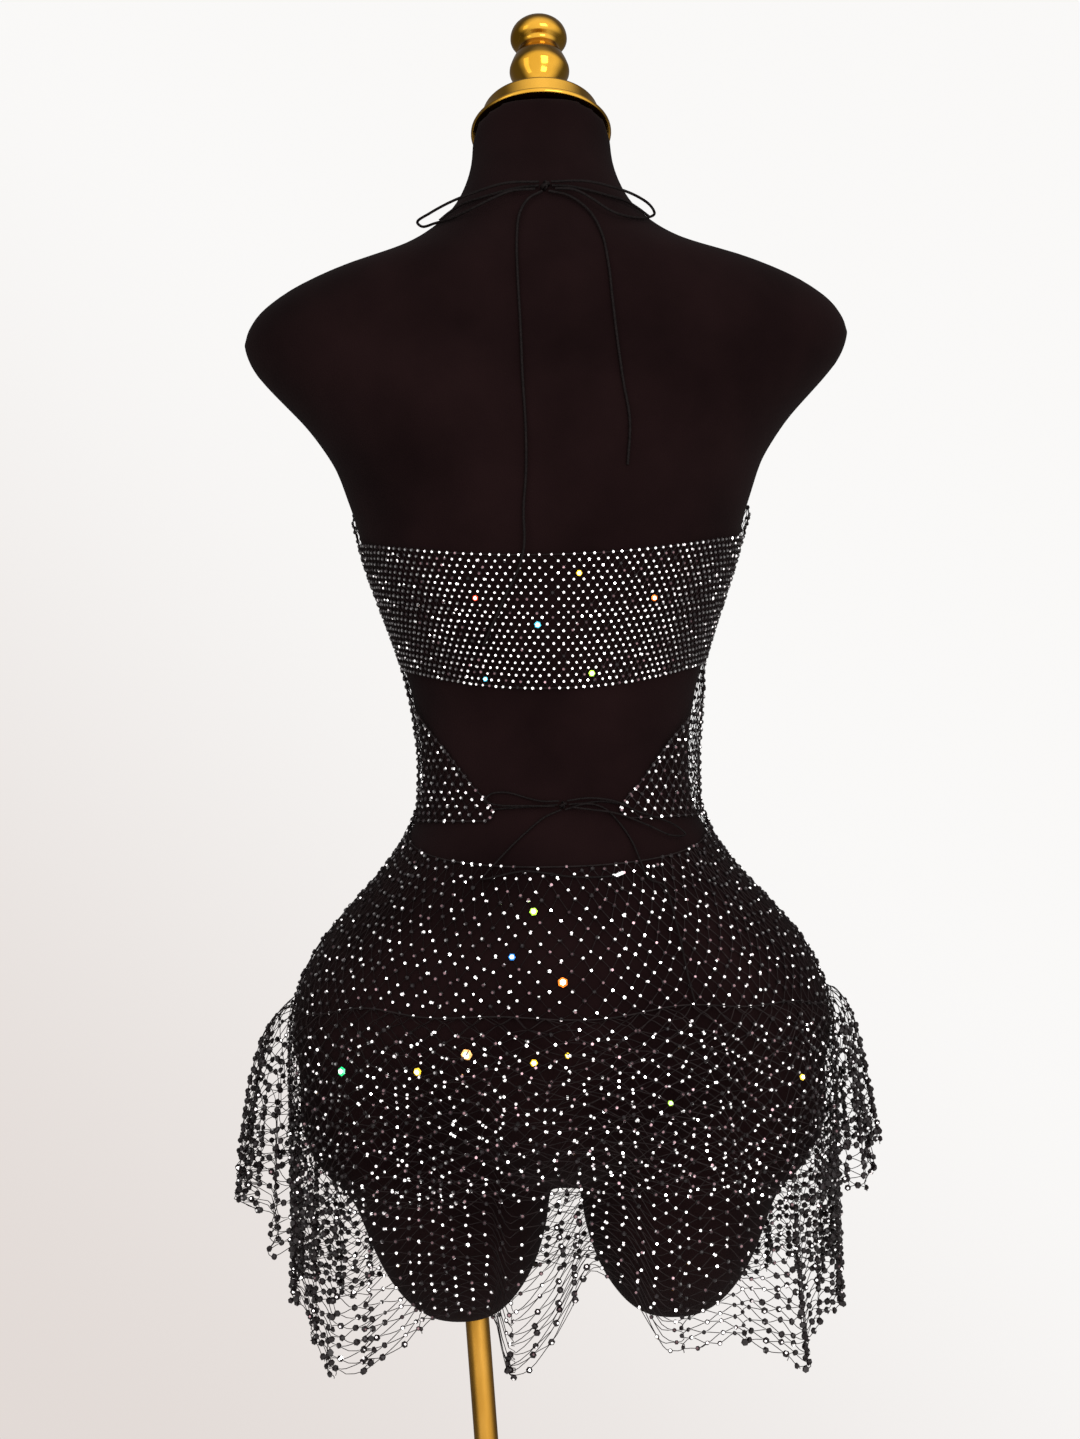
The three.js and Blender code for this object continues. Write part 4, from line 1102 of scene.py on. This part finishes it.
WAIST_ROUTES = {
    "waist_strand_left": [[0.4, 1106.2, 2.4], [-12, 1105.6, 1.6], [-27, 1104.8, 1.3], [-40, 1104, 1.6]],
    "waist_strand_right": [[7.2, 1106.2, 2.4], [18, 1106.8, 1.6], [28, 1107.6, 1.3], [39.4, 1106, 1.6]],
    "waist_tail_left": [
        [2.6, 1103, 2.8], [-8, 1098.5, 1.8], [-19.5, 1089.5, 1.4], [-29.5, 1080.5, 1.4], [-38.5, 1071, 3.4],
        [-45.5, 1063.5, 4.2], [-47.5, 1060.6, 4.2], [-43, 1060.8, 4.2], [-34, 1063, 4.2], [-22, 1064.8, 4],
        [-9, 1063.6, 3.8], [6, 1061, 3.8], [21, 1060.2, 4.2], [34.2, 1060.6, 4.9],
    ],
    "waist_tail_right": [
        [5, 1103, 2.8], [19, 1106.4, 3.4], [30, 1103, 2.2], [39, 1094, 1.4], [47, 1081.5, 1.6],
        [51.5, 1068, 4.2], [56, 1058, 4.6], [65.5, 1053.5, 4.6], [70, 1040, 4.6], [74.5, 1020, 4.6],
        [79.5, 993, 4.6], [83, 979.5, 4.6],
    ],
    "waist_loop_left": [
        [1.4, 1108.6, 3.4], [-9, 1108.6, 3.4], [-18, 1110.6, 1.6], [-32, 1114.6, 1.4], [-42, 1113.6, 2.4],
        [-44.5, 1109.4, 4.4], [-36, 1106.6, 4.6], [-20, 1106, 4.6], [-1.6, 1105.4, 5],
    ],
    "waist_loop_right": [
        [6.4, 1108.6, 3.4], [20, 1110, 3.6], [36, 1107.5, 4.4], [50, 1100.5, 4.4], [62, 1096, 4.6],
        [73, 1090.5, 5], [79, 1084.6, 5.4], [70, 1084.5, 5.4], [55, 1092, 4.6], [36, 1100, 4.4],
        [20, 1102.8, 5.2], [9, 1104.6, 5.2],
    ],
}
CRIMP_ROUTE = [[35, 1060.6, 5], [39.6, 1062.4, 5]]
CRIMP_RADIUS = 1.6


def smooth_line(points, per=6):
    """A smooth curve through points, which doesn't overshoot where they lie close together."""
    points = np.array(points, float)
    ends = [2 * points[0] - points[1], *points, 2 * points[-1] - points[-2]]
    made = []
    for p0, p1, p2, p3 in zip(ends[:-3], ends[1:-2], ends[2:-1], ends[3:]):
        gaps = [max(np.linalg.norm(b - a), 1e-6) ** 0.5 for a, b in ((p0, p1), (p1, p2), (p2, p3))]
        start = gaps[1] * ((p1 - p0) / gaps[0] - (p2 - p0) / (gaps[0] + gaps[1]) + (p2 - p1) / gaps[1])
        end = gaps[1] * ((p2 - p1) / gaps[1] - (p3 - p1) / (gaps[1] + gaps[2]) + (p3 - p2) / gaps[2])
        made += [smooth_step(p1, p2, start, end, t) for t in np.linspace(0, 1, per, endpoint=False)]
    made.append(points[-1])
    return np.array(made)


def add_cord(name, points, radius, material=CORD):
    line = smooth_line(points)
    data = bpy.data.curves.new(f"{name}_line", "CURVE")
    data.dimensions = "3D"
    data.bevel_depth = radius * MM
    data.bevel_resolution = 3
    data.use_fill_caps = True
    spline = data.splines.new("POLY")
    spline.points.add(len(line) - 1)
    for point, place_mm in zip(spline.points, line):
        point.co = (*(place_mm * MM), 1)
    data.materials.append(material)
    piece = bpy.data.objects.new(f"{name}_line", data)
    bpy.context.collection.objects.link(piece)
    length = float(np.linalg.norm(np.diff(line, axis=0), axis=1).sum()) * MM
    return piece, line[0] * MM, length


def add_knot(name, centre, size, cord_radius):
    """A tied knot: the cord wound round upright, level and aslant."""
    parts = Parts()
    turn = np.linspace(0, 2 * np.pi, 28)
    half_width, half_height, half_depth = size
    inner = np.array([half_width - cord_radius, half_depth, half_height - cord_radius])
    cosine, sine = np.cos(turn), np.sin(turn)
    upright = [0.35 * cosine, -cosine, sine]
    level = [cosine, -sine, 0.3 * np.sin(turn + 1)]
    slanted = [0.8 * cosine, -1.1 * sine, 0.7 * cosine]
    for line in (upright, level, slanted):
        wound = centre + inner * np.stack(line, axis=-1)
        add_tubes(parts, wound[None], cord_radius, sides=8)
    place(parts.build(f"{name}_tied", [CORD], smooth=True), "cord", name)


def add_cords():
    tip, _, _ = add_cord("cord_tip", [on_back(*p) for p in CRIMP_ROUTE], CRIMP_RADIUS, SILVER)
    place(tip, "silver", "cord_tip")
    for routes, point_at, radius in ((HALTER_ROUTES, on_back, HALTER_CORD_RADIUS),
                                     (HALTER_LOOPS, from_body, HALTER_CORD_RADIUS),
                                     (WAIST_ROUTES, on_back, WAIST_CORD_RADIUS)):
        for name, route in routes.items():
            piece, start, length = add_cord(name, [point_at(*p) for p in route], radius)
            place(piece, "cord", name)
    add_knot("halter_knot", on_back(1.5, 1507, 3.4), (3.5, 3.5, 2.2), HALTER_CORD_RADIUS)
    add_knot("waist_knot", on_back(3.8, 1106, 2.6), (2.8, 2.7, 1.6), WAIST_CORD_RADIUS)


# Floor, light and air

def add_area(name, place_mm, aim_mm, size, power):
    data = bpy.data.lights.new(name, "AREA")
    data.shape = "RECTANGLE"
    data.size, data.size_y = size
    data.energy = power
    light = bpy.data.objects.new(name, data)
    light.location = [c * MM for c in place_mm]
    aim = Vector([c * MM for c in aim_mm]) - light.location
    light.rotation_euler = aim.to_track_quat("-Z", "Y").to_euler()
    bpy.context.collection.objects.link(light)


BACKDROP_WHITE = (0.955, 0.945, 0.935, 1)
BACKDROP_SHADE = (0.76, 0.7, 0.67, 1)
SHADED_SIDE = (-0.72, 0.0, -0.69)
SHADE_RANGE = (-0.06, 0.33, 0, 1)
ROOM_WHITE = (1.0, 0.98, 0.96, 1)
WINDOW_SIDE = (0.15, -0.95, 0.28)
WINDOW_RANGE = (-0.1, 0.75, 0.22, 2.6)
FLOOR_RADIUS = 1500
FLOOR_DEPTH = 4
FLOOR_GAP = 0.5


def add_facing(tree, side, limits):
    """How far a direction turns to one side, mapped smoothly from two limits to two values."""
    seen = tree.nodes.new("ShaderNodeTexCoord")
    facing = add_node(tree, "VectorMath", {1: side}, operation="DOT_PRODUCT")
    tree.links.new(seen.outputs["Generated"], facing.inputs[0])
    values = dict(zip(("From Min", "From Max", "To Min", "To Max"), limits))
    mapped = add_node(tree, "MapRange", values, interpolation_type="SMOOTHSTEP")
    tree.links.new(facing.outputs["Value"], mapped.inputs["Value"])
    return mapped.outputs["Result"]


def add_world():
    """A pale wall for the camera, and for all else a room with a bright window behind the camera."""
    world = bpy.data.worlds.new("studio")
    bpy.context.scene.world = world
    world.use_nodes = True
    tree = world.node_tree
    backdrop = tree.nodes["Background"]
    shade = add_node(tree, "Mix", {"A": BACKDROP_WHITE, "B": BACKDROP_SHADE}, data_type="RGBA")
    tree.links.new(add_facing(tree, SHADED_SIDE, SHADE_RANGE), shade.inputs["Factor"])
    tree.links.new(shade.outputs["Result"], backdrop.inputs["Color"])
    room = add_node(tree, "Background", {"Color": ROOM_WHITE})
    tree.links.new(add_facing(tree, WINDOW_SIDE, WINDOW_RANGE), room.inputs["Strength"])
    seen = tree.nodes.new("ShaderNodeLightPath")
    mix = tree.nodes.new("ShaderNodeMixShader")
    tree.links.new(seen.outputs["Is Camera Ray"], mix.inputs["Fac"])
    tree.links.new(room.outputs["Background"], mix.inputs[1])
    tree.links.new(backdrop.outputs["Background"], mix.inputs[2])
    tree.links.new(mix.outputs["Shader"], tree.nodes["World Output"].inputs["Surface"])


def add_studio():
    sheet = [[0, -FLOOR_DEPTH], [FLOOR_RADIUS, -FLOOR_DEPTH], [FLOOR_RADIUS, 0], [0, 0]]
    floor = lathe("floor", sheet, 96, floor_material())
    move_mesh(floor, (0, 0, -FLOOR_GAP))
    add_world()
    add_area("key", (900, -2500, 1900), (0, 0, 1100), (1.1, 1.5), 45)
    add_area("fill", (-1900, -1700, 1500), (0, 0, 1000), (0.8, 1.8), 8)
    bpy.context.scene.view_settings.view_transform = "Standard"


add_camera()
add_cords()
add_form()
add_neck_trim()
add_stand()
add_skirts()
add_halter()
add_band()
add_studio()
